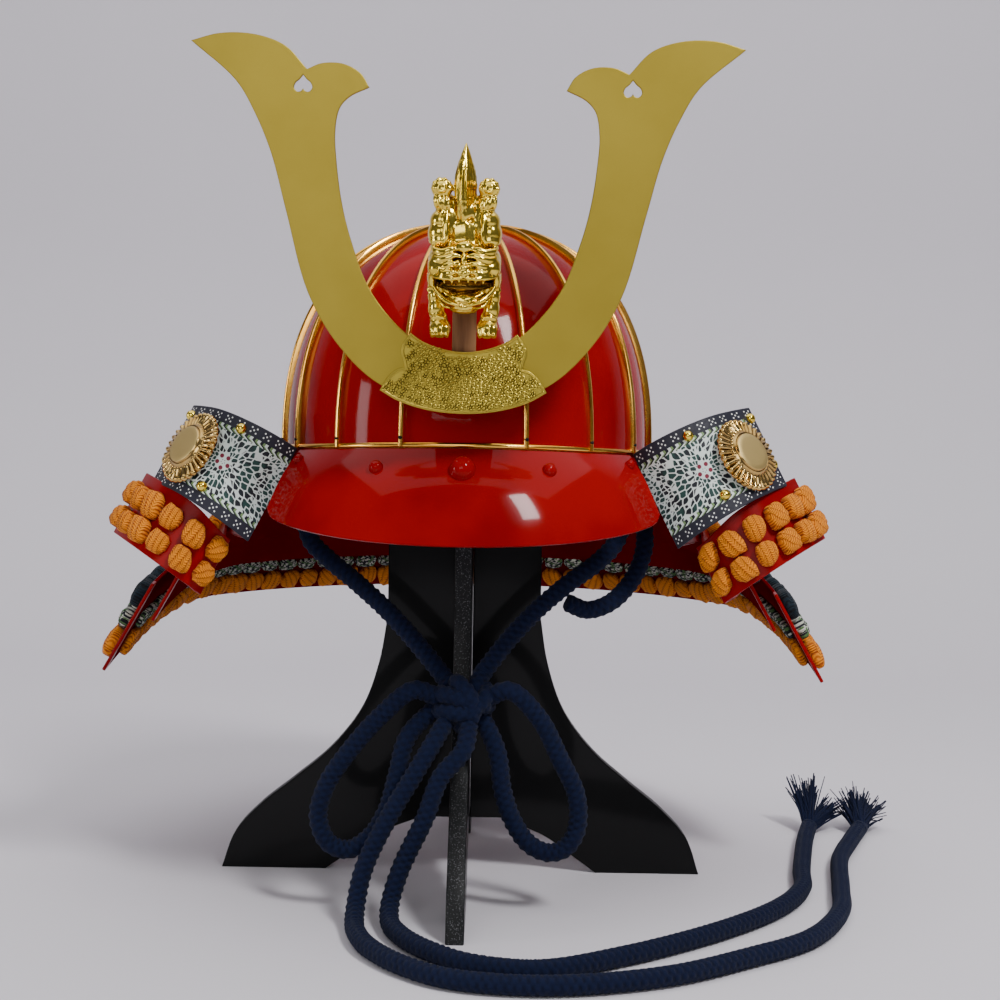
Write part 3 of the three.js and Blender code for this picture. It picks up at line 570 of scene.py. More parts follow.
def braided_cord(name, light, dark):
    """Braided silk: shade painted between the strands of the braid, with fine fibres along them."""
    f = Finish(name, Sheen_Weight=0.04, Sheen_Roughness=0.5, Specular_IOR_Level=0.12)
    along, turn = f.uv()
    fibre = f.noise(60, 3, where=f.vector(along * 100 + turn * 30, turn * 24 - along * 60))
    # Pointiness marks the ridges of the strands, and the grooves between them are darkened: painted shade,
    # with fibre and cloud tone mixed in.
    ridge = f.pointiness(0.40, 0.56)
    cloud = f.noise(90, 3)
    shade = (ridge * 0.7 + fibre * 0.4 + cloud * 0.2).ease(0.35, 1.0)
    f.varying(Base_Color=f.blend(shade, dark, light), Roughness=0.7 + fibre * 0.2)
    return f.relief(fibre, 0.3, 0.7).material


def lacing_silk(name, light, dark, flecks=()):
    """A lacing bundle: narrow plaits side by side, each with slanting stitches, and shade painted into the
    grooves between them.
    """
    f = Finish(name, Sheen_Weight=0.05, Sheen_Roughness=0.5, Specular_IOR_Level=0.2)
    across, down = f.uv()
    plait = (across * 4.2).fraction()
    groove = abs(plait - 0.5) * 2
    stitch = (down * 12 + groove * 0.9).fraction()
    ridge = abs(stitch - 0.5) * -2 + 1
    height = ridge.ease(0.0, 0.75) * 0.5 + (1 - groove ** 3) * 0.5
    cloud = f.noise(160, 3)
    # The colour follows the height of the weave, darker down in the grooves: painted shade.
    colour = f.blend((height * 0.9 + cloud * 0.25).ease(0.3, 0.95), dark, light)
    for k, (tone, low, high) in enumerate(flecks):
        cells = f.node("TexVoronoi", {}, {
            "Vector": f.vector(across * 9 + k * 5.3, down * 15), "Scale": 1.0})["Color"]
        pick = f.node("SeparateColor", {}, {"Color": cells})["Red"]
        colour = f.blend((pick > low) * (pick < high), colour, tone)
    f.varying(Base_Color=colour, Roughness=0.72 + cloud * 0.15)
    return f.relief(height, 1.1, 0.9).material


RED = red_lacquer("red_lacquer", (0.28, 0.0, 0.001), (0.19, 0.0, 0.002), 0.12, 0.07, 0.10)
RED_GUARD = red_lacquer("red_lacquer_guard", (0.28, 0.0, 0.001), (0.21, 0.0, 0.002), 0.0, 0.12, 0.28)
# The inner faces of the guard: the same red lacquer, matt, and made darker by painted shade.
RED_INSIDE_SHADED = red_lacquer("red_lacquer_inside_shaded", (0.15, 0.0, 0.002), (0.11, 0.0, 0.002), 0.0, 0.0, 0.5)
GILT = gilt()
SATIN = satin_gold("satin_gold", (0.38, 0.285, 0.040), (0.345, 0.255, 0.034), 0.4)
MON_BOSS = satin_gold("mon_boss", (0.62, 0.46, 0.19), (0.54, 0.39, 0.15), 0.46)
RELIEF = relief_gold()
# The third colour of each polished gold is the painted shade in its hollows and creases.
GOLD = polished_gold("polished_gold", (0.93, 0.69, 0.10), (0.78, 0.53, 0.05), (0.24, 0.11, 0.006))
MOUTH_SHADOW = polished_gold("mouth_shadow", (0.20, 0.105, 0.018), (0.11, 0.052, 0.008), (0.04, 0.018, 0.003))
MON_GOLD = polished_gold("mon_gold", (0.62, 0.42, 0.15), (0.46, 0.28, 0.08), (0.11, 0.05, 0.01), wear=0.4)
WOOD = brown_wood()
BLACK = black_lacquer()
EDGE = board_edge()
NAVY = braided_cord("navy_cord", (0.0036, 0.0075, 0.031), (0.0003, 0.0006, 0.003))
# Each kind of lacing, with the slot that it wears.
ORANGE_SILK = lacing_silk("orange_lacing", (0.86, 0.27, 0.004), (0.34, 0.060, 0.001)), "orange_cord"
NAVY_SILK = lacing_silk("navy_lacing", (0.006, 0.016, 0.026), (0.0008, 0.002, 0.004)), "navy_cord"
MOTTLED_SILK = lacing_silk("mottled_lacing", (0.02, 0.025, 0.03), (0.003, 0.003, 0.005), flecks=(
    ((0.62, 0.64, 0.55), 0.62, 1.0), ((0.10, 0.22, 0.07), 0.0, 0.2))), "mottled_cord"


# ------------------------------------------------------------------ chin cord
ROUTES = {
    "cord_arm_right": [(-93, -36, 250), (-93, -39, 228), (-89, -45, 205), (-78, -49, 194), (-65, -52, 184),
                       (-43, -60, 166), (-25, -67, 148), (-9, -74, 130)],
    "cord_arm_left": [(93, -36, 250), (93, -39, 228), (88, -45, 207), (78.4, -48, 195.7), (61, -53, 183),
                      (44, -58, 169), (28, -65, 153), (12, -73, 133)],
    "cord_side_loop": [(96, -8, 250), (99, -14, 234), (104, -23, 218), (105.5, -30, 205), (102, -35, 191),
                       (94.5, -40, 179), (84, -44, 170), (71.5, -47, 166.5), (60, -51, 171)],
    "cord_bow_right": [(-13, -83, 121), (-26, -88, 125.5), (-44, -89, 111), (-62, -90, 90), (-74, -90, 71),
                       (-78, -90, 53), (-72, -90, 39), (-61, -90, 35.5), (-49, -90, 43), (-40, -90, 58),
                       (-34.5, -90, 78), (-29, -87, 99), (-13, -79, 115)],
    "cord_bow_left": [(15, -83, 121), (27.5, -88, 126), (44, -89, 111), (56, -90, 88.5), (65.5, -90, 68),
                      (66, -90, 49), (60, -90, 38.5), (51, -90, 35.5), (40, -90, 40), (31, -90, 52),
                      (24.6, -90, 69.5), (21, -87, 91), (12, -79, 110)],
    "cord_tail_outer": [
        (-8, -89, 108), (-14, -97, 98.5), (-23, -102, 83.5), (-38.8, -106, 56.5), (-51, -110, 30),
        (-54.5, -118, 11.5), (-54, -131, 5.6), (-51, -147, 5.5), (-44, -166, 5.5), (-26, -192, 5.5),
        (0, -212, 5.5), (47, -219, 5.5), (105, -203.5, 5.5), (153, -171.5, 5.5), (189, -140.5, 5.5),
        (213.5, -94, 5.5), (223, -48, 5.5), (235, 16, 5.5), (249, 56, 5.5), (262, 90, 5.5)],
    "cord_tail_inner": [
        (5, -91, 107), (2.5, -101, 95), (-10, -104, 80), (-18, -106, 58), (-31, -107, 29.5),
        (-36, -113, 12.5), (-35.5, -125, 6), (-32, -138, 5.5), (-23, -156.5, 5.5), (-10, -173, 5.5),
        (9, -189, 5.5), (43, -196.5, 5.5), (85, -175, 5.5), (144, -128, 5.5), (182, -85, 5.5),
        (200, -49, 5.5), (206, -14, 5.5), (213, 22, 5.5), (221, 60, 5.5), (229, 92, 5.5)],
}
KNOT = Vector((1, -78, 117))
PLAIT, STRANDS, CORD_STEP, CORD_SIDES = 4.4, 4, 1.05, 32


def braid(reach, turn):
    """The height of a round plait, 0 to 1: two sets of strands that pass over each other."""
    p, q = turn * STRANDS + reach / PLAIT, turn * STRANDS - reach / PLAIT
    return abs(math.sin(math.pi * p) * math.sin(math.pi * q)) ** 0.6


def in_frame(point):
    return (point[0] * MM, point[1] * MM + AXIS_Y, point[2] * MM)


def cord_tube(points, scale=1.0):
    """The plaited cord along a route, with the line that it follows and its length."""
    def surface(reach, turn):
        return CORD_RADIUS * scale * (0.85 + 0.2 * braid(reach, turn))
    at = spline(points)
    _, length = even_points(at, 10)
    line, length = even_points(at, max(12, round(length / CORD_STEP)), samples=2400)
    return tube(line, CORD_SIDES, surface), line, length


def knot():
    """Three turns of the cord drawn up round each other."""
    wraps = [
        [(-13, 4, 2), (-12, -7, 6), (-2, -13, 5), (9, -11, 1), (14, -1, -1), (8, 9, 0)],
        [(-8, 6, -7), (-13, -4, -4), (-7, -12, -3), (3, -14, -3), (13, -8, 5), (12, 4, 8)],
        [(-4, 5, 10), (-2, -8, 12), (4, -13, 6), (6, -13, -4), (1, -9, -11), (-2, 3, -11)],
    ]
    parts = [cord_tube([KNOT + Vector(p) for p in wrap], 0.95)[0] for wrap in wraps]
    for route, side in (("cord_arm_right", -1), ("cord_arm_left", 1)):
        end, before = Vector(ROUTES[route][-1]), Vector(ROUTES[route][-2])
        start = end + (before - end).normalized() * 3
        parts.append(cord_tube([start, end, KNOT + Vector((side * 5, -3, 5)), KNOT])[0])
    parts.append(ball(KNOT, (13, 10, 11)))
    return piece("cord_knot_braid", join(parts), NAVY, "navy_cord", "cord_knot", sharp=80)


def tassel(name, route, node, tufts, seed):
    """A bound cord end with its strands combed out over the floor."""
    rng = random.Random(seed)
    at = spline(ROUTES[route])
    end = at(1.0)
    way = (end - at(0.99)).normalized()
    side = Vector((0, 0, 1)).cross(way)
    parts = []
    for lean, lift, spread, count, length in tufts:
        for _ in range(count):
            out = rng.gauss(0, spread)
            rise = abs(rng.gauss(lift, spread * 0.55))
            reach = length * rng.uniform(0.7, 1.08)
            aim = (way + side * (lean + out) + Vector((0, 0, rise))).normalized()
            root = end + side * rng.uniform(-3, 3) + Vector((0, 0, rng.uniform(-3, 3.4)))
            droop = Vector((0, 0, -rng.uniform(0.0, 0.18) * reach))
            curl = side * rng.uniform(-0.2, 0.2) * reach
            stops = [root, root + aim * reach * 0.45 + curl * 0.4, root + aim * reach + droop + curl]
            stops = [Vector((p.x, p.y, max(1.0, p.z))) for p in stops]
            line, _ = even_points(spline(stops), 5, samples=40)
            thick = rng.uniform(0.55, 0.95)
            parts.append(tube(line, 5, lambda run, _, t=thick, r=reach: t * (1 - 0.55 * min(1, run / r))))
    collar, _ = even_points(spline([end - way * 2, end + way * 1.5, end + way * 5]), 10, samples=60)
    parts.append(tube(collar, 20, lambda reach, _: 5.3 + 0.25 * math.sin(reach * TAU / 1.4)))
    return piece(name, join(parts), NAVY, "navy_cord", node, sharp=80)


def chin_cord():
    knot_piece = knot()
    tassel_outer = tassel("frayed_end_outer", "cord_tail_outer", "tassel_outer", (
        (0.1, 0.42, 0.24, 150, 37), (0.42, 0.75, 0.14, 60, 36)), 11)
    tassel_inner = tassel("frayed_end_inner", "cord_tail_inner", "tassel_inner", (
        (-0.55, 0.45, 0.13, 85, 33), (0.2, 1.05, 0.15, 85, 38)), 12)
    for node, far_end, lay, extra in (
            ("cord_arm_right", "knot", "hanging", [knot_piece]),
            ("cord_arm_left", "knot", "hanging", []),
            ("cord_side_loop", "object", "hanging", []),
            ("cord_bow_right", "knot", "hanging", []),
            ("cord_bow_left", "knot", "hanging", []),
            ("cord_tail_outer", "bare", "loose", [tassel_outer]),
            ("cord_tail_inner", "bare", "loose", [tassel_inner])):
        bm, line, length = cord_tube(ROUTES[node])
        item = piece(node.replace("cord_", "braid_"), bm, NAVY, "navy_cord", node, sharp=80)
        in_frame(line[0])
        length * MM
        [in_frame(p) for p in line[::4] + [line[-1]]]
        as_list(extra)


chin_cord()


# ------------------------------------------------------------------ bowl
def dome(tilt, grow=0.0):
    power = 2 / SQUARENESS
    radius = (BOWL_HALF_WIDTH + grow) * max(0.0, math.sin(tilt)) ** power
    return radius, RIM_Z + (BOWL_HEIGHT + grow) * max(0.0, math.cos(tilt)) ** power


def bowl_point(angle, tilt, grow=0.0):
    radius, z = dome(tilt, grow)
    stretch = BOWL_HALF_LENGTH / BOWL_HALF_WIDTH
    return Vector((radius * math.sin(angle), -radius * stretch * math.cos(angle), z))


def rib_angles():
    step = (360 - 2 * FIRST_RIB) / (RIB_COUNT - 1)
    return [math.radians(FIRST_RIB + k * step) for k in range(RIB_COUNT)]


def trim_z(angle):
    return RIM_Z + TRIM_RISE * max(0.0, math.cos(angle)) ** 2


def bowl():
    steps = 30
    half = math.pi / 2
    outer = [dome(half * k / steps) for k in range(steps + 1)]
    inner = [dome(half * k / steps, -BOWL_WALL) for k in range(steps, -1, -1)]
    hem = [(BOWL_HALF_WIDTH, HEM_Z), (BOWL_HALF_WIDTH - BOWL_WALL, HEM_Z)]
    bm = turned([*outer, *hem, *inner], 160)
    # Each plate of the bowl is very slightly crowned between its two ribs.
    angles = rib_angles()
    for vert in bm.verts:
        angle = math.atan2(vert.co.x, -vert.co.y) % TAU
        low = max([a for a in angles if a <= angle] or [angles[-1] - TAU])
        high = min([a for a in angles if a > angle] or [angles[0] + TAU])
        away = smooth(math.hypot(vert.co.x, vert.co.y), 20, 60)
        crown = math.sin(math.pi * (angle - low) / (high - low)) * 0.006 * away
        vert.co.x *= 1 + crown
        vert.co.y *= 1 + crown
    bmesh.ops.scale(bm, vec=(1, BOWL_HALF_LENGTH / BOWL_HALF_WIDTH, 1), verts=bm.verts)
    return piece("bowl_lacquer", bm, RED, "red_lacquer", "bowl", sharp=60)


def rib(angle):
    """A standing plate edge capped with a gilt beading, from the crown to the rim line."""
    side = Vector((math.cos(angle), math.sin(angle), 0))
    section = [(-1.35, 0.0), (-1.2, 0.62), (-0.75, 0.93), (0, 1.0), (0.75, 0.93), (1.2, 0.62), (1.35, 0.0)]

    def place(u, v):
        tilt = CROWN_TILT + (math.pi / 2 - CROWN_TILT) * u
        across, rise = section[round(v * (len(section) - 1))]
        taper = 0.72 + 0.28 * smooth(u, 0.0, 0.5)
        point = bowl_point(angle, tilt, 0.1 + RIB_HEIGHT * rise)
        point += side * across * RIB_HALF_WIDTH * taper
        point.z = max(point.z, trim_z(angle) + 0.6)
        return point

    return closed(grid(44, len(section) - 1, place))


def ring_of(section, points, steps):
    """A closed hoop: section is a list of (out, up) steps, points(angle, out, up) gives the place."""
    count = len(section)
    return merged(grid(steps, count, lambda u, v: points(u * TAU, *section[round(v * count) % count])))


def rib_cage():
    """The ribs, the line round the rim, and three scalloped tiers round the crown, soldered in one."""
    def rim_place(angle, out, up):
        return Vector((*bowl_point(angle, math.pi / 2, out).xy, trim_z(angle) + up))

    parts = [rib(angle) for angle in rib_angles()]
    rim = [(0.2, -0.2), (1.4, -0.3), (2.1, 0.5), (2.1, 1.6), (1.4, 2.4), (0.2, 2.3)]
    parts.append(ring_of(rim, rim_place, 180))
    base = RIM_Z + BOWL_HEIGHT - 0.6
    tier = [(0.62, 0), (0.94, 0), (1.0, 0.35), (0.97, 0.8), (0.86, 1.0), (0.62, 1.0)]
    for radius, lift, height, petals in ((26, 0.0, 2.4, 16), (19, 1.8, 2.2, 16), (13, 3.4, 2.0, 12)):
        def tier_place(angle, out, up):
            scallop = 1 + (0.05 * abs(math.cos(petals * angle / 2)) - 0.02) * smooth(out, 0.8, 0.95)
            drop = 0.011 * (radius * out) ** 2 * 0.32
            reach = radius * out * scallop
            top = base + 0.5 + lift + height * up - drop
            return Vector((reach * math.sin(angle), -reach * math.cos(angle), top))
        parts.append(ring_of(tier, tier_place, 192))
    return piece("gilt_ribs", join(parts), GILT, "gilt", "rib_cage", sharp=50)


def rib_rivets():
    """A small dark stud at the foot of each rib."""
    parts = []
    for angle in rib_angles():
        foot = bowl_point(angle, math.pi / 2 - 0.02, 2.6)
        foot.z = trim_z(angle) + 5.2
        out = Vector((math.sin(angle), -math.cos(angle), 0.1))
        parts.append(seat(ball((0, 0, 0), (1.25, 1.25, 1.1), u=14, v=9), foot, out))
    return piece("rib_studs", join(parts), BLACK, "black_lacquer", sharp=80)


bowl()
rib_cage()
rib_rivets()


# ------------------------------------------------------------------ brim
def brim_point(across, down):
    """A place on the brim: across runs from -1 to 1, down from the bowl to the edge."""
    top_angle, edge_angle = math.radians(BRIM_END_ANGLE) * across, math.radians(BRIM_EDGE_ANGLE) * across
    top = bowl_point(top_angle, math.pi / 2, GAP + 2.3)
    top.z = trim_z(top_angle) - GAP
    corner = max(0.0, abs(across) - 0.94) / 0.06
    edge = Vector((BRIM_HALF_WIDTH * math.sin(edge_angle), BRIM_CENTRE_Y - BRIM_REACH * math.cos(edge_angle),
                   BRIM_EDGE_Z + 9.5 * across ** 2 + 4 * corner ** 2))
    bulge = math.sin(math.pi * down) * 3
    return top.lerp(edge, down) + Vector((0, -bulge, bulge))


def brim():
    bm = walled(grid(120, 20, lambda u, v: brim_point(u * 2 - 1, v)), BRIM_WALL, -1)
    return piece("brim_lacquer", bm, RED, "red_lacquer", "brim", sharp=50, bevel=0.6)


def brim_rivets():
    for node, across, down, radius in (
            ("brim_rivet_centre", 0, 0.26, 6.9), ("brim_rivet_middle_left", 0.4, 0.26, 3.8),
            ("brim_rivet_middle_right", -0.4, 0.26, 3.8), ("brim_rivet_side_left", 0.93, 0.2, 2.8),
            ("brim_rivet_side_right", -0.93, 0.2, 2.8)):
        at = brim_point(across, down)
        out = (brim_point(across, down + 0.05) - at).cross(brim_point(across + 0.02, down) - at)
        out = out if out.y < 0 else -out
        crown = [(radius * 0.97 * math.cos(t * 0.157), radius * 0.88 * math.sin(t * 0.157) + 0.6)
                 for t in range(1, 10)]
        head = turned([(0, -0.8), (radius * 1.02, -0.8), (radius * 1.04, 0.2), (radius * 0.99, 0.8),
                       *crown, (0, radius * 0.88 + 0.6)], 48)
        piece(node.replace("brim_rivet", "rivet"), seat(head, at, out), RED, "red_lacquer", node, sharp=60)


brim()
brim_rivets()


# ------------------------------------------------------------------ neck guard
def guard_point(angle, drop, outset):
    plan = Vector((GUARD_HALF_WIDTH * math.sin(angle), GUARD_HALF_LENGTH * math.cos(angle), 0))
    out = Vector((math.sin(angle) / GUARD_HALF_WIDTH, math.cos(angle) / GUARD_HALF_LENGTH, 0)).normalized()
    shallow = lerp(1.0, BACK_DROP, smooth(plan.y, -10, 75))
    plan += out * (FLARE * drop + outset)
    plan.z = GUARD_TOP - drop * shallow
    return plan


def sided(point, side):
    """A point of the +X side brought to the side that is named."""
    return Vector((point.x * FLAPS[side]["sign"], point.y, point.z))


def end_angle(row):
    return math.acos(row["front"] / GUARD_HALF_LENGTH)


def top_drop(row, angle):
    if not row["flap_top"]:
        return row["top"]
    return lerp(row["top"], row["flap_top"], smooth(angle, end_angle(row) - 0.35, end_angle(row) - 0.06))


def flap_section(side, raised=0.0):
    """The flap's section as (outwards, forwards) steps from the fold."""
    facts, parts = FLAPS[side], 26
    section = [(0.0, 0.0)]
    tilts = [(lerp(FLAP_INNER_TILT, facts["outer"], (k + 0.5) / parts), FLAP_ARC / parts)
             for k in range(parts)]
    tilts += [(lerp(facts["outer"], facts["end"], (k + 0.5) / 8), FLAP_END / 8) for k in range(8)]
    for tilt, length in tilts:
        u, f = section[-1]
        section.append((u + length * math.cos(math.radians(tilt)), f - length * math.sin(math.radians(tilt))))
    if not raised:
        return section
    pushed = []
    for k, (u, f) in enumerate(section):
        u0, f0 = section[max(k - 1, 0)]
        u1, f1 = section[min(k + 1, len(section) - 1)]
        long = math.hypot(u1 - u0, f1 - f0)
        pushed.append((u - (f1 - f0) / long * raised, f + (u1 - u0) / long * raised))
    return pushed


def flap_frame(row):
    angle = end_angle(row)
    top = guard_point(angle, row["flap_top"], row["outset"])
    bottom = guard_point(angle, row["bottom"], row["outset"])
    down = (bottom - top).normalized()
    across = Vector((-down.z, 0, down.x)).normalized()
    front = across.cross(down).normalized()
    front = -front if front.y > 0 else front
    return dict(top=top, down=down, across=across, front=front, height=(bottom - top).length)


def flap_point(frame_at, step, w):
    return frame_at["top"] + frame_at["across"] * step[0] + frame_at["front"] * step[1] + frame_at["down"] * w


def flap_edges(row, frame_at, share):
    """Where a flap starts and ends down its height; lame 2's reaches up behind the leather of lame 1's."""
    rise = FLAP_RISE * share
    behind = 4.2 * smooth(share, 0.0, 0.45)
    return (0.0 if row["flap_top"] == 0 else -rise - behind), frame_at["height"] - rise


def lame_columns(row, side):
    """Top and bottom points from the middle of the back to the front end, on the +X side."""
    columns = []
    for k in range(61):
        angle = end_angle(row) * k / 60
        columns.append((guard_point(angle, top_drop(row, angle), row["outset"]),
                        guard_point(angle, row["bottom"], row["outset"])))
    if row["flap_top"] is not None:
        at = flap_frame(row)
        section = flap_section(side)
        for step in section[1:]:
            edges = flap_edges(row, at, step[0] / section[-1][0])
            columns.append(tuple(flap_point(at, step, w) for w in edges))
    return [tuple(sided(point, side) for point in pair) for pair in columns]


def lame(name):
    row = LAMES[name]
    columns = lame_columns(row, "right")[:0:-1] + lame_columns(row, "left")
    count = len(columns) - 1

    def place(u, v):
        top, bottom = columns[round(u * count)]
        return top.lerp(bottom, v)

    def in_the_middle(face):
        return abs(face.calc_center_median().x) < 20

    bm = walled(grid(count, 10, place), -GUARD_WALL, 1, in_the_middle)
    for face in bm.faces:
        face.normal_update()
        middle = face.calc_center_median()
        # Faces that look in towards the head, behind the front end, take the darker inside lacquer: painted
        # shade.
        face.material_index = 1 if middle.xy.dot(face.normal.xy) < 0 and middle.y > row["front"] + 4 else 0
    item = piece(name + "_lacquer", bm, RED_GUARD, "red_lacquer", name, sharp=40, bevel=0.5)
    item.data.materials.append(RED_INSIDE_SHADED)
    return item


for lame_name in LAMES:
    lame(lame_name)


# ------------------------------------------------------------------ lacing
def fuller(value, power):
    return math.copysign(abs(value) ** power, value)


def bundle(rng, middle, along, down, out, width, length, height):
    """One lacing bundle: a full, soft-cornered lump of plaited silk with a waist between its plaits."""
    bm = ball((0, 0, 0), (1, 1, 1), u=18, v=12)
    lean, size, twist = rng.uniform(-0.2, 0.2), rng.uniform(0.84, 1.06), rng.uniform(-0.95, 0.95)
    corner = rng.choice((0.8, 2.35, 3.9, 5.5)) + rng.uniform(-0.3, 0.3)
    layer = bm.loops.layers.uv.new("UVMap")
    for face in bm.faces:
        for loop in face.loops:
            x, y, _ = loop.vert.co
            loop[layer].uv = (0.5 + (x * math.cos(twist) + y * math.sin(twist)) / 2,
                              0.5 + (y * math.cos(twist) - x * math.sin(twist)) / 2)
    for vert in bm.verts:
        x, y, z = vert.co
        plaits = x * math.cos(twist) + y * math.sin(twist)
        tuft = max(0.0, math.cos(math.atan2(y, x) - corner)) ** 8 * 0.24 * math.hypot(x, y)
        groove = math.cos(plaits * 4.2 * math.pi)
        spread = (1 + 0.05 * groove) * (1 + tuft)
        x, y = fuller(x, 0.8) * spread, fuller(y, 0.8) * spread
        z = fuller(z, 0.62) * (1 + 0.10 * groove) * (1 - 0.4 * tuft)
        x += lean * y
        sideways = along * (x * width / 2) + down * (y * length / 2)
        vert.co = middle + sideways * size + out * (z * height / 2)
    bmesh.ops.recalc_face_normals(bm, faces=bm.faces)
    return bm


def lace_row(name, upper, lower, count, lace, *nodes, height=9.0, fill=0.93, seed=1, facing=1):
    """Bundles set side by side between two lines; upper and lower are functions of 0 to 1."""
    rng = random.Random(seed)
    a_line, reach = even_points(upper, 2 * count)
    b_line, _ = even_points(lower, 2 * count)
    parts = []
    for k in range(1, 2 * count, 2):
        a, b = a_line[k], b_line[k]
        along = (a_line[k + 1] - a_line[k - 1]).normalized()
        down = (b - a).normalized()
        out = along.cross(down).normalized() * facing
        parts.append(bundle(rng, a.lerp(b, 0.5) + out * height * 0.3, along, down, out,
                            reach / count * fill, (b - a).length * 1.06, height))
    return piece(name, join(parts), *lace, *nodes, sharp=80)


def band_line(row, drop, reach, lift):
    return spline([guard_point(reach * (k / 16 - 1), drop, row["outset"] + lift) for k in range(33)])


def guard_lacing():
    lift = (GUARD_WALL + GAP) / math.cos(math.atan(FLARE)) + 0.2
    rows = (
        ("lacing_2_upper", "neck_lame_2", 27, 40, 96, ORANGE_SILK),
        ("lacing_2_lower", "neck_lame_2", 42, 55, 101, ORANGE_SILK),
        ("lacing_3", "neck_lame_3", 62, 80, 92, NAVY_SILK),
        ("lacing_4_upper", "neck_lame_4", 86, 101, 92, NAVY_SILK),
        ("lacing_4_middle", "neck_lame_4", 103, 113, 92, MOTTLED_SILK),
        ("lacing_4_lower", "neck_lame_4", 115, 131, 92, ORANGE_SILK),
    )
    for seed, (node, lame_name, top, bottom, reach, lace) in enumerate(rows):
        row = LAMES[lame_name]
        upper, lower = (band_line(row, drop, math.radians(reach), lift) for drop in (top, bottom))
        _, length = even_points(upper, 4)
        name = node.replace("lacing", "silk")
        lace_row(name, upper, lower, round(length / LACE_PITCH), lace, node, seed=seed)
    # The same cords show again on the inside of the lowest lame.
    row = LAMES["neck_lame_4"]
    for name, top, bottom, lace, height in (
            ("silk_inside_upper", 106, 115, MOTTLED_SILK, 5.0),
            ("silk_inside_lower", 117, 132, ORANGE_SILK, 6.5)):
        upper, lower = (band_line(row, drop, math.radians(88), -0.5) for drop in (top, bottom))
        _, length = even_points(upper, 4)
        count = round(length / (LACE_PITCH - 1))
        lace_row(name, upper, lower, count, lace, height=height, seed=len(name), facing=-1)


def flap_lacing(side):
    at = flap_frame(LAMES["neck_lame_2"])
    section = flap_section(side, raised=GAP)
    sign = FLAPS[side]["sign"]

    def line(w):
        points = [sided(flap_point(at, step, w - FLAP_RISE * step[0] / section[-1][0]), side)
                  for step in section[::2]]
        return spline(points if sign < 0 else points[::-1])

    for place, top, bottom in (("upper", 2.5, 17), ("lower", 18.5, 32)):
        node = f"flap_lacing_{place}_{side}"
        lace_row(f"flap_silk_{place}_{side}", line(top), line(bottom), 6, ORANGE_SILK, node,
                 seed=len(node) + sign, fill=0.86, height=9.5)


guard_lacing()
for flap_side in FLAPS:
    flap_lacing(flap_side)


# ------------------------------------------------------------------ flap leather
def greatest(values):
    """The greatest of several shader numbers."""
    most = values[0]
    for value in values[1:]:
        most = most.most(value)
    return most


def dot(x, y, low, high):
    """A round spot about the place where x and y are nought: 1 inside low, 0 outside high."""
    return 1 - ((x * x + y * y) ** 0.5).ease(low, high)


def printed_leather(side):
    """Leather printed with a white net that spreads from a red flower, stitch lines and a dotted border."""
    f = Finish("printed_leather_" + side, Specular_IOR_Level=0.35)
    u, v = f.uv()
    x, y = u * 100, v * 100
    length = FLAP_ARC + FLAP_END
    across_edge, end_edge = y.least(LEATHER_HEIGHT - y), length - x
    edge = across_edge.least(end_edge)
    # Polar places round the flower.
    flower_x, flower_y = 38.5, 28.0
    dx, dy = x - flower_x, y - flower_y
    radius = (dx * dx + dy * dy) ** 0.5 + 0.001
    cos_a, sin_a = dx / radius, dy / radius
    # Cells longer towards the flower, and smaller beside the fold.
    stretch = radius ** 0.62 * 1.02
    wander = f.noise(0.2, 2, where=f.vector(x, y)) * 0.5
    nets = []
    for size, shift in ((1.0, 0.0), (1.6, 31.0)):
        where = f.vector(cos_a * stretch * size + wander + shift, sin_a * stretch * size + wander)
        cells = f.node("TexVoronoi", dict(feature="DISTANCE_TO_EDGE"), {
            "Vector": where, "Scale": 1.0, "Randomness": 0.62})
        nets.append(cells["Distance"] / size)
    fold = 1 - (x + f.noise(0.3, 2, where=f.vector(x, y)) * 8).ease(17.5, 18.5)
    distance = nets[0] * (1 - fold) + nets[1] * 1.45 * fold
    net = 1 - distance.ease(0.08, 0.125)
    # The flower: a pale round with five dark red petals and a ring of specks.
    heart = 1 - radius.ease(4.9, 5.3)
    net = net.most(heart)
    petals, specks = [], []
    for k in range(5):
        angle = TAU * (k + 0.3) / 5
        for spots, reach, size in ((petals, 3.7, 1.3), (specks, 1.2, 0.28)):
            px, py = flower_x + reach * math.cos(angle), flower_y + reach * math.sin(angle)
            spots.append(dot(x - px, y - py, size - 0.15, size + 0.15))
    white, green, black = (0.66, 0.73, 0.69), (0.012, 0.050, 0.042), (0.006, 0.007, 0.012)
    tone = f.noise(0.12, 2, where=f.vector(x, y)).ease(0.42, 0.58)
    colour = f.blend(net, f.blend(tone, green, black), white)
    colour = f.blend(greatest(petals), colour, (0.17, 0.008, 0.028))
    colour = f.blend(greatest(specks), colour, (0.01, 0.01, 0.015))
    # The stitch line: slanting leaf-shaped stitches in white, green and black.
    from_edge = edge - 8.9
    leaf = ((x + y) / 5.2 + abs(from_edge) * 0.24).fraction()
    stitch = f.blend(leaf > 0.36, black, f.blend(leaf > 0.72, white, (0.16, 0.26, 0.10)))
    colour = f.blend(abs(from_edge) < 1.6, colour, stitch)
    # The border: groups of five white dots on blue-black.
    run = (x * (across_edge < end_edge) + y * (across_edge > end_edge)) / 8.8
    group = (run.fraction() - 0.5) * 8.8
    rise = edge - 3.7
    dots = greatest([dot(group - ox, rise - oy, 0.42, 0.58) for ox, oy in (
        (0, 0), (1.7, 1.35), (-1.7, 1.35), (1.7, -1.35), (-1.7, -1.35))])
    border = f.blend(dots, (0.013, 0.013, 0.024), (0.80, 0.80, 0.78))
    colour = f.blend(edge < 7.3, colour, border)
    grain = f.noise(9, 3, where=f.vector(x * 0.35, y * 0.35))
    f.varying(Base_Color=colour, Roughness=0.42 + grain * 0.2 + net * 0.1)
    return f.relief(net * 0.5 + grain * 0.5 + dots * 0.3, 0.1, 0.5).material


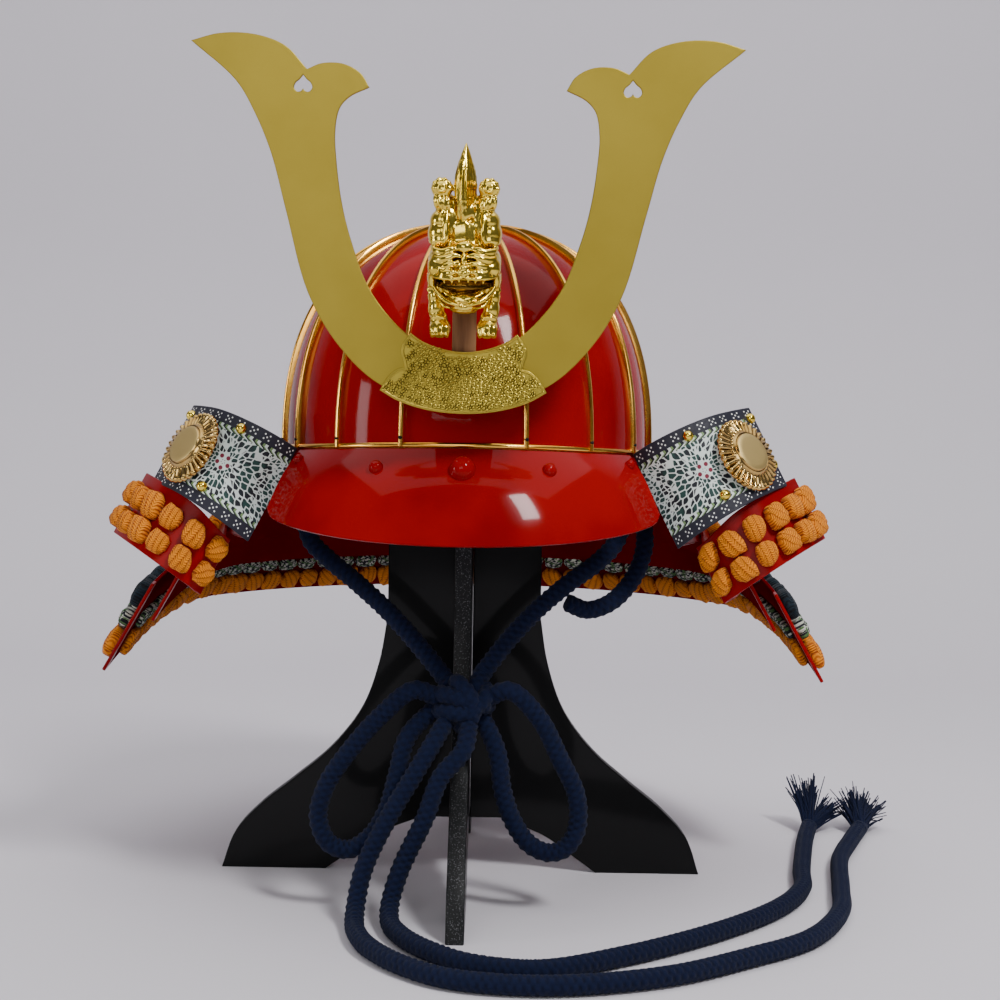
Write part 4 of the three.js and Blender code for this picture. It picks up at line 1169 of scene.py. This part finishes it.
def leather(side):
    row = LAMES["neck_lame_1"]
    at = flap_frame(row)
    section = flap_section(side, raised=GAP + 0.1)
    count = len(section) - 1

    def place(u, v):
        step = section[round(u * count)]
        top, bottom = flap_edges(row, at, step[0] / section[-1][0])
        return sided(flap_point(at, step, lerp(top - 1, bottom + 1, v)), side)

    def mark(u, v):
        return u * (FLAP_ARC + FLAP_END) / 100, v * LEATHER_HEIGHT / 100

    bm = walled(grid(count, 24, place, uv=mark), -LEATHER_WALL, -1)
    name = f"printed_leather_{side}"
    return piece(name, bm, printed_leather(side), "printed_leather", f"flap_leather_{side}",
                 sharp=50, bevel=0.45)


def leather_seat(side, across, down, lift):
    at = flap_frame(LAMES["neck_lame_1"])
    section = flap_section(side)
    k = next(i for i, step in enumerate(section) if step[0] >= across)
    (u0, f0), (u1, f1) = section[k - 1], section[k]
    t = (across - u0) / (u1 - u0)
    normal = (at["across"] * (f0 - f1) + at["front"] * (u1 - u0)).normalized()
    point = flap_point(at, (across, f0 + t * (f1 - f0)), down) + normal * lift
    return sided(point, side), sided(normal, side)


# ------------------------------------------------------------------ flap badges and rivets
def badge():
    """A round badge: a scalloped ring of flutes round a plain raised middle."""
    flutes = 34
    rows = [
        (0, 6.6), (4, 6.6), (8, 6.6), (10.6, 6.5), (11.1, 6.2), (11.4, 5.6), (11.7, 5.2), (12.3, 5.4),
        (12.7, 5.1), (13.2, 4.2), (13.8, 3.6), (14.8, 3.3), (16.2, 2.9), (17.8, 2.5), (19.2, 2.3),
        (20.2, 2.5), (20.9, 2.1), (21.5, 1.3), (21.5, 0.5), (20.6, 0.1), (0, 0.1)]
    last = len(rows) - 1
    bm = grid(8 * flutes, last, lambda u, v: Vector((u, *rows[round(v * last)])))
    for vert in bm.verts:
        turn, radius, z = vert.co
        wave = abs(math.sin(turn * flutes * math.pi))
        zone = smooth(radius, 13.2, 14.6)
        lift = zone * (wave - 0.5) * 1.5 * (1 if z > 0.6 else 0)
        out = radius + smooth(radius, 19, 21) * (wave - 0.7) * 0.9
        vert.co = (out * math.cos(turn * TAU), out * math.sin(turn * TAU), z + lift)
    return merged(bm, 1e-3)


def domed_rivet(radius):
    crown = [(radius * 0.97 * math.cos(t * 0.196), radius * 0.95 * math.sin(t * 0.196) + 0.3)
             for t in range(1, 8)]
    return turned([(0, -0.4), (radius, -0.4), (radius * 1.02, 0.3), *crown, (0, radius * 0.95 + 0.3)], 32)


def flap_fittings(side):
    across, down = FLAPS[side]["mon"]
    point, normal = leather_seat(side, across, down, 2.8)
    bm = badge()
    for face in bm.faces:
        face.material_index = 1 if face.calc_center_median().xy.length < 10.9 else 0
    item = piece(f"badge_{side}", seat(bm, point, normal), MON_GOLD, "polished_gold", f"mon_{side}", sharp=50)
    item.data.materials.append(MON_BOSS)
    far = 0.955 * flap_section(side)[-1][0]
    for name, reach, drop in (("inner_upper", 30, 5), ("inner_lower", 34, 43.5), ("outer_upper", far, 6),
                              ("outer_lower", far, 35.5)):
        point, normal = leather_seat(side, reach, drop, 1.9)
        head = seat(domed_rivet(3.1), point, normal)
        piece(f"gold_rivet_{name}_{side}", head, GOLD, "polished_gold", f"flap_rivet_{name}_{side}", sharp=60)


for flap_side in FLAPS:
    leather(flap_side)
    flap_fittings(flap_side)


# ------------------------------------------------------------------ horns, base plate, peg and socket
def other_side(points):
    """The mirror image of a run of points, in the opposite order."""
    return [(-x, z) for x, z in reversed(points)]


def heart_hole(x, z, size):
    half = [(0, 0.55), (0.2, 0.3), (0.45, 0.08), (0.54, -0.2), (0.36, -0.44), (0.12, -0.4), (0, -0.24)]
    at = spline(half)
    right = [at(k / 24) for k in range(25)]
    return [(x + px * size, z + pz * size) for px, pz in [*right, *other_side(right[1:-1])]]


def horn(side):
    loop = outline(
        [(10, 284), (43.3, 294.8), (65, 314.7), (81, 341.4), (92.8, 383.5), (100.5, 412), (108.8, 432),
         (119, 449), (142, 468.7)],
        [(142, 468.7), (127, 472.7), (108.8, 472.3), (93.7, 466.9), (82.5, 455.3)],
        [(82.5, 455.3), (74.8, 458.4), (63.5, 458.1), (55, 453.5), (50.5, 446.5)],
        [(50.5, 446.5), (60.8, 441.4), (65.7, 435.6), (67.8, 423.7), (67, 409), (64.1, 388.3), (59.1, 368.9),
         (48.9, 343.3), (30.5, 321.6), (10, 309)],
        [(10, 309), (10, 284)])
    bm = flat_solid([loop, heart_hole(84.5, 447.6, 8.6)], HORN_WALL, 0.45, HORN_Y + HORN_WALL / 2)
    if side == "right":
        bm = mirrored(bm)
    return piece(f"gold_horn_{side}", bm, SATIN, "satin_gold", f"horn_{side}", sharp=50, planes=True)


def plate_outline(inset=0.0):
    """The base plate's cusped outline, or one drawn inside it by the inset."""
    side = [(27.6, 321.6), (31.5, 315.9), (32.3, 311.8), (31, 307.2), (30.2, 303.8)]
    wing = [(30.2, 303.8), (34.1, 302.8), (39, 298.6), (43.2, 291.9)]
    foot = [(43.2, 291.9), (33.6, 286.5), (18.1, 281.9), (0, 280.3)]
    foot += other_side(foot[:-1])
    top = [(-27.6, 321.6), (-21, 317.2), (-11, 313.6), (0, 312.3)]
    top += other_side(top[:-1])
    loop = outline(side, wing, foot, other_side(wing), other_side(side), top, steps=6)
    moved = []
    for k, point in enumerate(loop):
        along = (loop[(k + 1) % len(loop)] - loop[k - 1]).normalized()
        moved.append((point.x + along.y * inset, point.y - along.x * inset))
    return moved


def inside(x, z, loop):
    hit = False
    for (x0, z0), (x1, z1) in zip(loop, loop[1:] + loop[:1]):
        if (z0 > z) != (z1 > z) and x < (x1 - x0) * (z - z0) / (z1 - z0) + x0:
            hit = not hit
    return hit


def circle(x, z, radius, count, start=0.0):
    """Places at equal steps round a circle."""
    turns = [start + TAU * k / count for k in range(count)]
    return [(x + radius * math.cos(turn), z + radius * math.sin(turn)) for turn in turns]


def blossom(x, y, z, turn, size):
    petals = [ball((px, y, pz), (0.86 * size, 0.8, 0.86 * size), u=8, v=6)
              for px, pz in circle(x, z, 1.4 * size, 5, turn)]
    return [*petals, ball((x, y - 0.3, z), (0.5, 0.6, 0.5), u=8, v=5)]


def base_plate():
    """The crest's base plate: a raised edge round a field of low blossoms and little rings."""
    face = PLATE_Y - PLATE_WALL / 2
    edge = [(x, face - 0.05, z) for x, z in plate_outline(1.1)]
    parts = [flat_solid([plate_outline()], PLATE_WALL, 0.35, PLATE_Y + PLATE_WALL / 2),
             line_tube([*edge, edge[0]], 0.42)]
    rng = random.Random(5)
    field = plate_outline(2.1)
    pitch = 4.0
    for row in range(12):
        for col in range(-12, 13):
            x = (col + 0.5 * (row % 2)) * pitch + rng.uniform(-0.5, 0.5)
            z = 283.6 + row * pitch * 0.86 + 0.006 * x * x + rng.uniform(-0.4, 0.4)
            if not inside(x, z, field):
                continue
            if rng.random() < 0.45:
                parts.extend(blossom(x, face, z, rng.uniform(0, TAU), rng.uniform(0.88, 1.1)))
            else:
                for u, w in circle(x, z, 1.35, 3, rng.uniform(0, TAU)):
                    ring = circle(u, w, 0.85, 9)
                    parts.append(line_tube([(a, face - 0.15, b) for a, b in [*ring, ring[0]]], 0.40, 5))
    return piece("relief_plate", join(parts), RELIEF, "satin_gold", "crest_base_plate", sharp=45, planes=True)


def crest_mount():
    front = HORN_Y - 1
    peg = block(-6.2, 6.2, front, front + 4, 285, 346)
    piece("wooden_peg", peg, WOOD, "brown_wood", "crest_peg", bevel=0.5)
    socket = bpy.data.objects["crest_socket"]
    socket.data.materials.clear()
    socket.data.materials.append(BLACK)


for horn_side in FLAPS:
    horn(horn_side)
base_plate()
crest_mount()


# ------------------------------------------------------------------ lion crest
def lobe(x, y, z, rx, ry, rz, lean=0.0, tip=0.0):
    """One lobe of the figure, leaned sideways and tipped forwards in degrees."""
    turn = Matrix.Rotation(math.radians(lean), 4, "Y") @ Matrix.Rotation(math.radians(tip), 4, "X")
    return ball((x, LION_Y + y, z), (rx, ry, rz), turn, u=18, v=12)


def lobes(*rows):
    """Lobes from rows of x, y and z, then three radii, and where it leans the lean."""
    return [lobe(*row) for row in rows]


def ridge(points, radius):
    """A rounded ridge through a few points, thinner at its ends."""
    line, length = even_points(spline([(x, LION_Y + y, z) for x, y, z in points]), 18, samples=120)

    def taper(reach, _):
        return radius * (0.35 + 0.65 * math.sin(math.pi * min(1, max(0, reach / length))) ** 0.6)
    return tube(line, 8, taper)


def curl(x, y, z, size):
    """A lock of mane that winds into a flat spiral facing forwards."""
    points = []
    for k in range(9):
        angle, reach = k / 8 * 1.6 * TAU, size * (1 - 0.8 * k / 8)
        points.append((x + reach * math.cos(angle), y - 0.9 * k / 8, z + reach * math.sin(angle)))
    return ridge(points, size * 0.33)


def lion_half():
    """The wearer's left half of the figure, made whole by its mirror image and by lion_middle."""
    # hind paw turned up sole forwards, its leg, and the drum of the thigh
    parts = lobes(
        (11.9, -2, 393.8, 5.6, 5.2, 5.4), (11.4, -1, 387.2, 4.9, 5.0, 5.6), (12.4, 0, 377.4, 5.6, 7.6, 6.0),
        (12.8, 0, 371.4, 6.1, 7.8, 7.0), (12.7, -0.6, 367.6, 5.7, 7.2, 3.8), (7.6, 1, 377, 4.6, 5.5, 10),
        (6.8, 0.6, 385.5, 2.6, 3.6, 5.4), (0, -1, 345, 15.0, 5.6, 6))
    # the side of the mane, the cheek and the side of the muzzle
    parts += lobes(
        (15.4, 2, 357, 3.4, 10, 7), (16.2, 1, 349, 2.9, 9.5, 7), (15.4, 2, 342, 2.8, 7, 5),
        (12.6, -6.4, 353.4, 6.0, 6.4, 4.8), (14.4, -5.0, 355.4, 4.2, 6.4, 4.4),
        (6.6, -12.6, 350.6, 6.4, 4.4, 2.6, 3))
    # fore leg and paw
    parts += lobes(
        (14.9, 0.6, 340, 3.7, 6.4, 5.5), (14.0, 0, 334, 4.3, 6.2, 7.0), (12.7, -0.8, 328.6, 4.7, 5.8, 4.8),
        (11.9, -2.0, 324.0, 5.7, 6.6, 5.2))
    # three rolls of brow, the lip, the jaw with its inner edge, and the chin
    parts += [ridge(points, radius) for radius, points in (
        (2.0, [
            (3.0, -10.0, 362.2), (6.4, -11.8, 362.8), (10.2, -11.4, 361.4), (13.8, -9.0, 362.0),
            (16.8, -4.0, 364.6)]),
        (1.9, [
            (1.0, -12.2, 358.6), (4.6, -13.4, 359.6), (8.8, -13.4, 358.0), (12.8, -11.2, 357.6),
            (16.4, -7.0, 359.8)]),
        (1.6, [
            (1.6, -13.6, 354.8), (5.2, -14.8, 355.4), (9.0, -14.2, 354.2), (12.6, -11.8, 354.2)]),
        (1.2, [
            (0, -17.6, 348.4), (4.6, -17.2, 347.8), (9.6, -15.2, 348.2), (14.0, -11.2, 349.0),
            (17.4, -5.4, 350.6)]),
        (1.35, [
            (0, -14.4, 334.9), (5.0, -13.8, 335.6), (9.8, -11.6, 338.0), (13.8, -8.2, 342.0),
            (17.0, -4.2, 347.4)]),
        (0.95, [
            (0, -12.6, 338.4), (4.4, -12.2, 338.8), (8.4, -10.4, 340.6), (11.6, -7.8, 343.8)]),
        (1.0, [
            (6.2, -11.8, 333.6), (9.0, -10.6, 334.4), (11.4, -8.8, 336.4), (12.8, -7, 339.4)]))]
    # beads along the lip, and a row of short teeth under it
    for x, y, z, r in ((2.3, -17.0, 350.9, 1.35), (5.4, -16.6, 351.2, 1.35), (8.6, -15.2, 351.2, 1.3),
                       (11.6, -13.0, 351.6, 1.25), (14.2, -10.0, 352.2, 1.2)):
        parts.append(ball((x, LION_Y + y, z), (r, r, r), u=12, v=9))
    for x, y, z, length in ((2.2, -16.8, 346.9, 1.4), (5.8, -16.0, 346.7, 1.5), (9.6, -14.2, 347.0, 1.8)):
        parts.append(ball((x, LION_Y + y, z), (0.7, 0.7, length), u=10, v=8))
    # the ring on the sole, scalloped pads round it, and toes
    ring = circle(12.0, 393.6, 1.9, 12)
    parts.append(line_tube([(x, LION_Y - 6.9, z) for x, z in [*ring, ring[0]]], 0.72, 8))
    for k in range(6):
        a = math.radians(-5 + 38 * k)
        parts.append(lobe(11.9 + 4.3 * math.cos(a), -4.2, 393.8 + 4.3 * math.sin(a), 1.35, 2.2, 1.35))
    for k in range(4):
        off = (k - 1.5) ** 2
        parts += lobes(
            (8.2 + 2.3 * k, -5.2 - 0.9 * (k in (1, 2)), 386.0 + 0.3 * k, 1.1, 1.4, 3.6, 8),
            (8.3 + 2.4 * k, -6.4 + off * 0.6, 323.0 - 0.2 * off, 1.5, 2.9, 3.9),
            (8.4 + 2.35 * k, -8.6 + off * 0.6, 320.7, 0.8, 1.3, 1.2))
    # a long fold down the thigh, its lower tuft, and the band of the fore leg
    parts.append(ridge([(9.0, -5.0, 383.0), (9.4, -7.0, 376), (9.2, -7.2, 369), (10.6, -6.0, 364.6)], 1.6))
    parts.append(ridge([(11.0, -5.4, 383.0), (12.0, -7.0, 380.6), (13.8, -6.8, 379.2)], 0.9))
    band = [(8.6, -4.6, 328.6), (11, -6.6, 329.4), (14.4, -6.4, 329.4), (17.0, -4.0, 328.8)]
    parts.append(ridge(band, 0.75))
    # a lock of mane at the jaw, and locks along the side of the head
    parts.append(curl(17.2, -3.0, 342.6, 1.9))
    for row in range(4):
        for col in range(3):
            parts.append(lobe(16.6 - 0.35 * row, 2.5 + 3.6 * col, 343.5 + 5.4 * row + 2 * (col % 2),
                              1.7, 2.4, 3.0, tip=25))
    return parts


def lion_middle():
    # the body from the back, the head, the forehead, nose and muzzle, the mouth and the lower jaw
    parts = lobes(
        (0, 3, 374, 8, 6, 11), (0, 4, 364, 14, 10, 8), (0, 1, 356, 16.8, 11, 9.6),
        (0, -3.4, 356.0, 15.4, 8.6, 6.8), (0, -10.6, 351.2, 9.4, 6.2, 3.2), (0, -8.4, 363.8, 5.2, 5.2, 4.0),
        (0, -14.0, 357.6, 1.7, 2.4, 3.6), (0, -16.2, 353.2, 2.7, 2.3, 1.7), (0, -17.4, 350.4, 1.4, 1.4, 1.6),
        (0, 3, 341, 13.0, 6.0, 7), (0, -5.4, 337.2, 11.0, 8.2, 3.0), (0, -8.0, 339.6, 5.6, 5.0, 1.3),
        (0, 4.6, 340, 11, 5, 9), (0, 6, 350, 10, 11, 10))
    parts.append(block(-5.8, 5.8, LION_Y + 4, HORN_Y - 1.3, 332, 374))
    # the tail: a fluted blade that narrows to a bound foot
    at = spline([(0, LION_Y + y, z) for y, z in ((1.4, 374), (-0.6, 382), (-1.0, 400), (0.6, 417.4))])
    line, length = even_points(at, 60, samples=400)
    width = spline([(0, 3.6), (0.2, 4.6), (0.4, 5.7), (0.55, 6.1), (0.75, 5.2), (0.9, 3.0), (1.0, 0.3)])

    def blade(reach, turn):
        share = min(1.0, reach / length)
        side = abs(math.cos(turn * TAU))
        return width(share).y * (0.62 + 0.38 * side ** 1.5) * (1 + 0.13 * math.cos(turn * 14 * TAU))

    parts.append(tube(line, 84, blade))
    for k in range(-3, 4):
        parts.append(lobe(k * 1.35, -3.6 + 0.3 * abs(k), 381.0 + 0.5 * abs(k), 0.85, 1.3, 3.4))
    for k in range(-4, 5):
        parts.append(lobe(k * 1.25, -3.9 + 0.16 * abs(k), 372.2 - 0.2 * abs(k), 0.72, 1.3, 5.6))
    # the tuft under the chin
    for k in range(-2, 3):
        parts.append(lobe(k * 1.8, -12.0 + 0.5 * abs(k), 333.6 + 0.3 * abs(k), 1.1, 1.5, 1.7, lean=-8 * k))
    return parts


def lion():
    """The figure: its lobes and ridges melted into one casting, with the faces inside the mouth painted dark
    as shadow.
    """
    half = join(lion_half())
    item = added("figure", mesh_of("figure", join([half.copy(), mirrored(half), *lion_middle()])))
    half.free()
    melt = item.modifiers.new("melt", "REMESH")
    melt.mode = "VOXEL"
    melt.voxel_size = 0.5
    soften = item.modifiers.new("soften", "SMOOTH")
    soften.factor = 0.5
    soften.iterations = 11
    bm = applied(item)
    for face in bm.faces:
        x, y, z = face.calc_center_median()
        y -= LION_Y
        in_mouth = 341.0 + 0.02 * x * x < z < 347.9 and -11 + 0.3 * abs(x) < y < 2 and abs(x) < 14.5
        face.material_index = 1 if in_mouth else 0
    item = piece("lion_figure", bm, GOLD, "polished_gold", "lion_crest", sharp=180)
    item.data.materials.append(MOUTH_SHADOW)
    return item


lion()


# ------------------------------------------------------------------ stand
def board(name, node, slot_end, front):
    """A board with splayed feet and an arch; the front one is slotted from above, the other from below."""
    flank = outline([
        (145, 0), (137, 22), (122, 39), (101, 56), (79, 75), (61, 99), (51, 127), (BOARD_HALF, 156)], steps=6)
    crown = outline([
        (BOARD_HALF, 375), (24, 381.5), (0, BOARD_TOP), (-24, 381.5), (-BOARD_HALF, 375)], steps=8)
    arch = outline([(-82, 0), (-64.5, 12.5), (-51, 22), (-24, 33)], steps=6)
    slot = [(-SLOT_HALF, slot_end), (SLOT_HALF, slot_end)]
    loop = [*flank, (BOARD_HALF, 156)]
    if front:
        loop += [p for p in crown if p.x > SLOT_HALF]
        loop += [(SLOT_HALF, BOARD_TOP), *slot[::-1], (-SLOT_HALF, BOARD_TOP)]
        loop += [p for p in crown if p.x < -SLOT_HALF]
    else:
        loop += crown
    loop += [(-BOARD_HALF, 375), (-BOARD_HALF, 156), *other_side(flank[1:]), (-145, 0), *arch, (-24, 33)]
    if not front:
        loop += [(-SLOT_HALF, 33), *slot, (SLOT_HALF, 33)]
    loop += [(24, 33), *other_side(arch[1:]), (82, 0)]
    bm = flat_solid([loop], BOARD_WALL, 0.7, BOARD_WALL / 2)
    if front:
        bmesh.ops.rotate(bm, cent=(0, 0, 0), matrix=Matrix.Rotation(math.pi / 2, 3, "Z"), verts=bm.verts)
    for face in bm.faces:
        face.normal_update()
        face.material_index = 0 if abs(face.normal.x if front else face.normal.y) > 0.4 else 1
    item = piece(name, bm, BLACK, "black_lacquer", node, sharp=50, planes=True)
    item.data.materials.append(EDGE)
    return item


board("lacquered_side_board", "stand_side_board", 200.3, False)
board("lacquered_front_board", "stand_front_board", 200, True)


# ------------------------------------------------------------------ studio
def studio():
    def shape(u, v):
        run = lerp(-1600, 4200, v)
        bend = min(1.0, max(0.0, (run - 700) / 800)) * math.pi / 2
        return Vector((lerp(-3200, 3200, u), min(run, 700) + 500 * math.sin(bend),
                       500 * (1 - math.cos(bend)) + max(0.0, run - 1500)))

    bm = grid(8, 90, shape)
    bmesh.ops.scale(bm, vec=(MM, MM, MM), verts=bm.verts)
    for face in bm.faces:
        face.smooth = True
    mesh = mesh_of("floor", bm)
    paper = Finish("pale_floor", Roughness=0.7, Specular_IOR_Level=0.2)
    cloud = paper.noise(3, 3)
    paper.varying(Base_Color=paper.blend(cloud, (0.66, 0.63, 0.68), (0.70, 0.67, 0.72)))
    mesh.materials.append(paper.material)
    added("floor", mesh)


def softbox(name, place, aim, width, height, power):
    data = bpy.data.lights.new(name, "AREA")
    data.shape = "RECTANGLE"
    data.size, data.size_y, data.energy = width, height, power
    lamp = added(name, data)
    lamp.location = place
    lamp.rotation_euler = (Vector(aim) - Vector(place)).to_track_quat("-Z", "Y").to_euler()


studio()
softbox("window_right", (0.80, -1.05, 1.55), (0, -0.05, 0.22), 0.26, 0.5, 26)
softbox("window_left", (-1.75, -0.62, 0.46), (0, -0.05, 0.25), 0.35, 0.6, 7)
softbox("overhead", (0.0, 0.3, 2.7), (0, 0.1, 0), 4.0, 3.2, 64)
softbox("front_fill", (-0.5, -2.9, 1.2), (0, 0, 0.25), 1.6, 1.2, 22)
world = bpy.data.worlds.new("studio")
bpy.context.scene.world = world
world.use_nodes = True
sky = world.node_tree.nodes["Background"].inputs
sky["Color"].default_value, sky["Strength"].default_value = (0.92, 0.93, 1.0, 1), 0.14
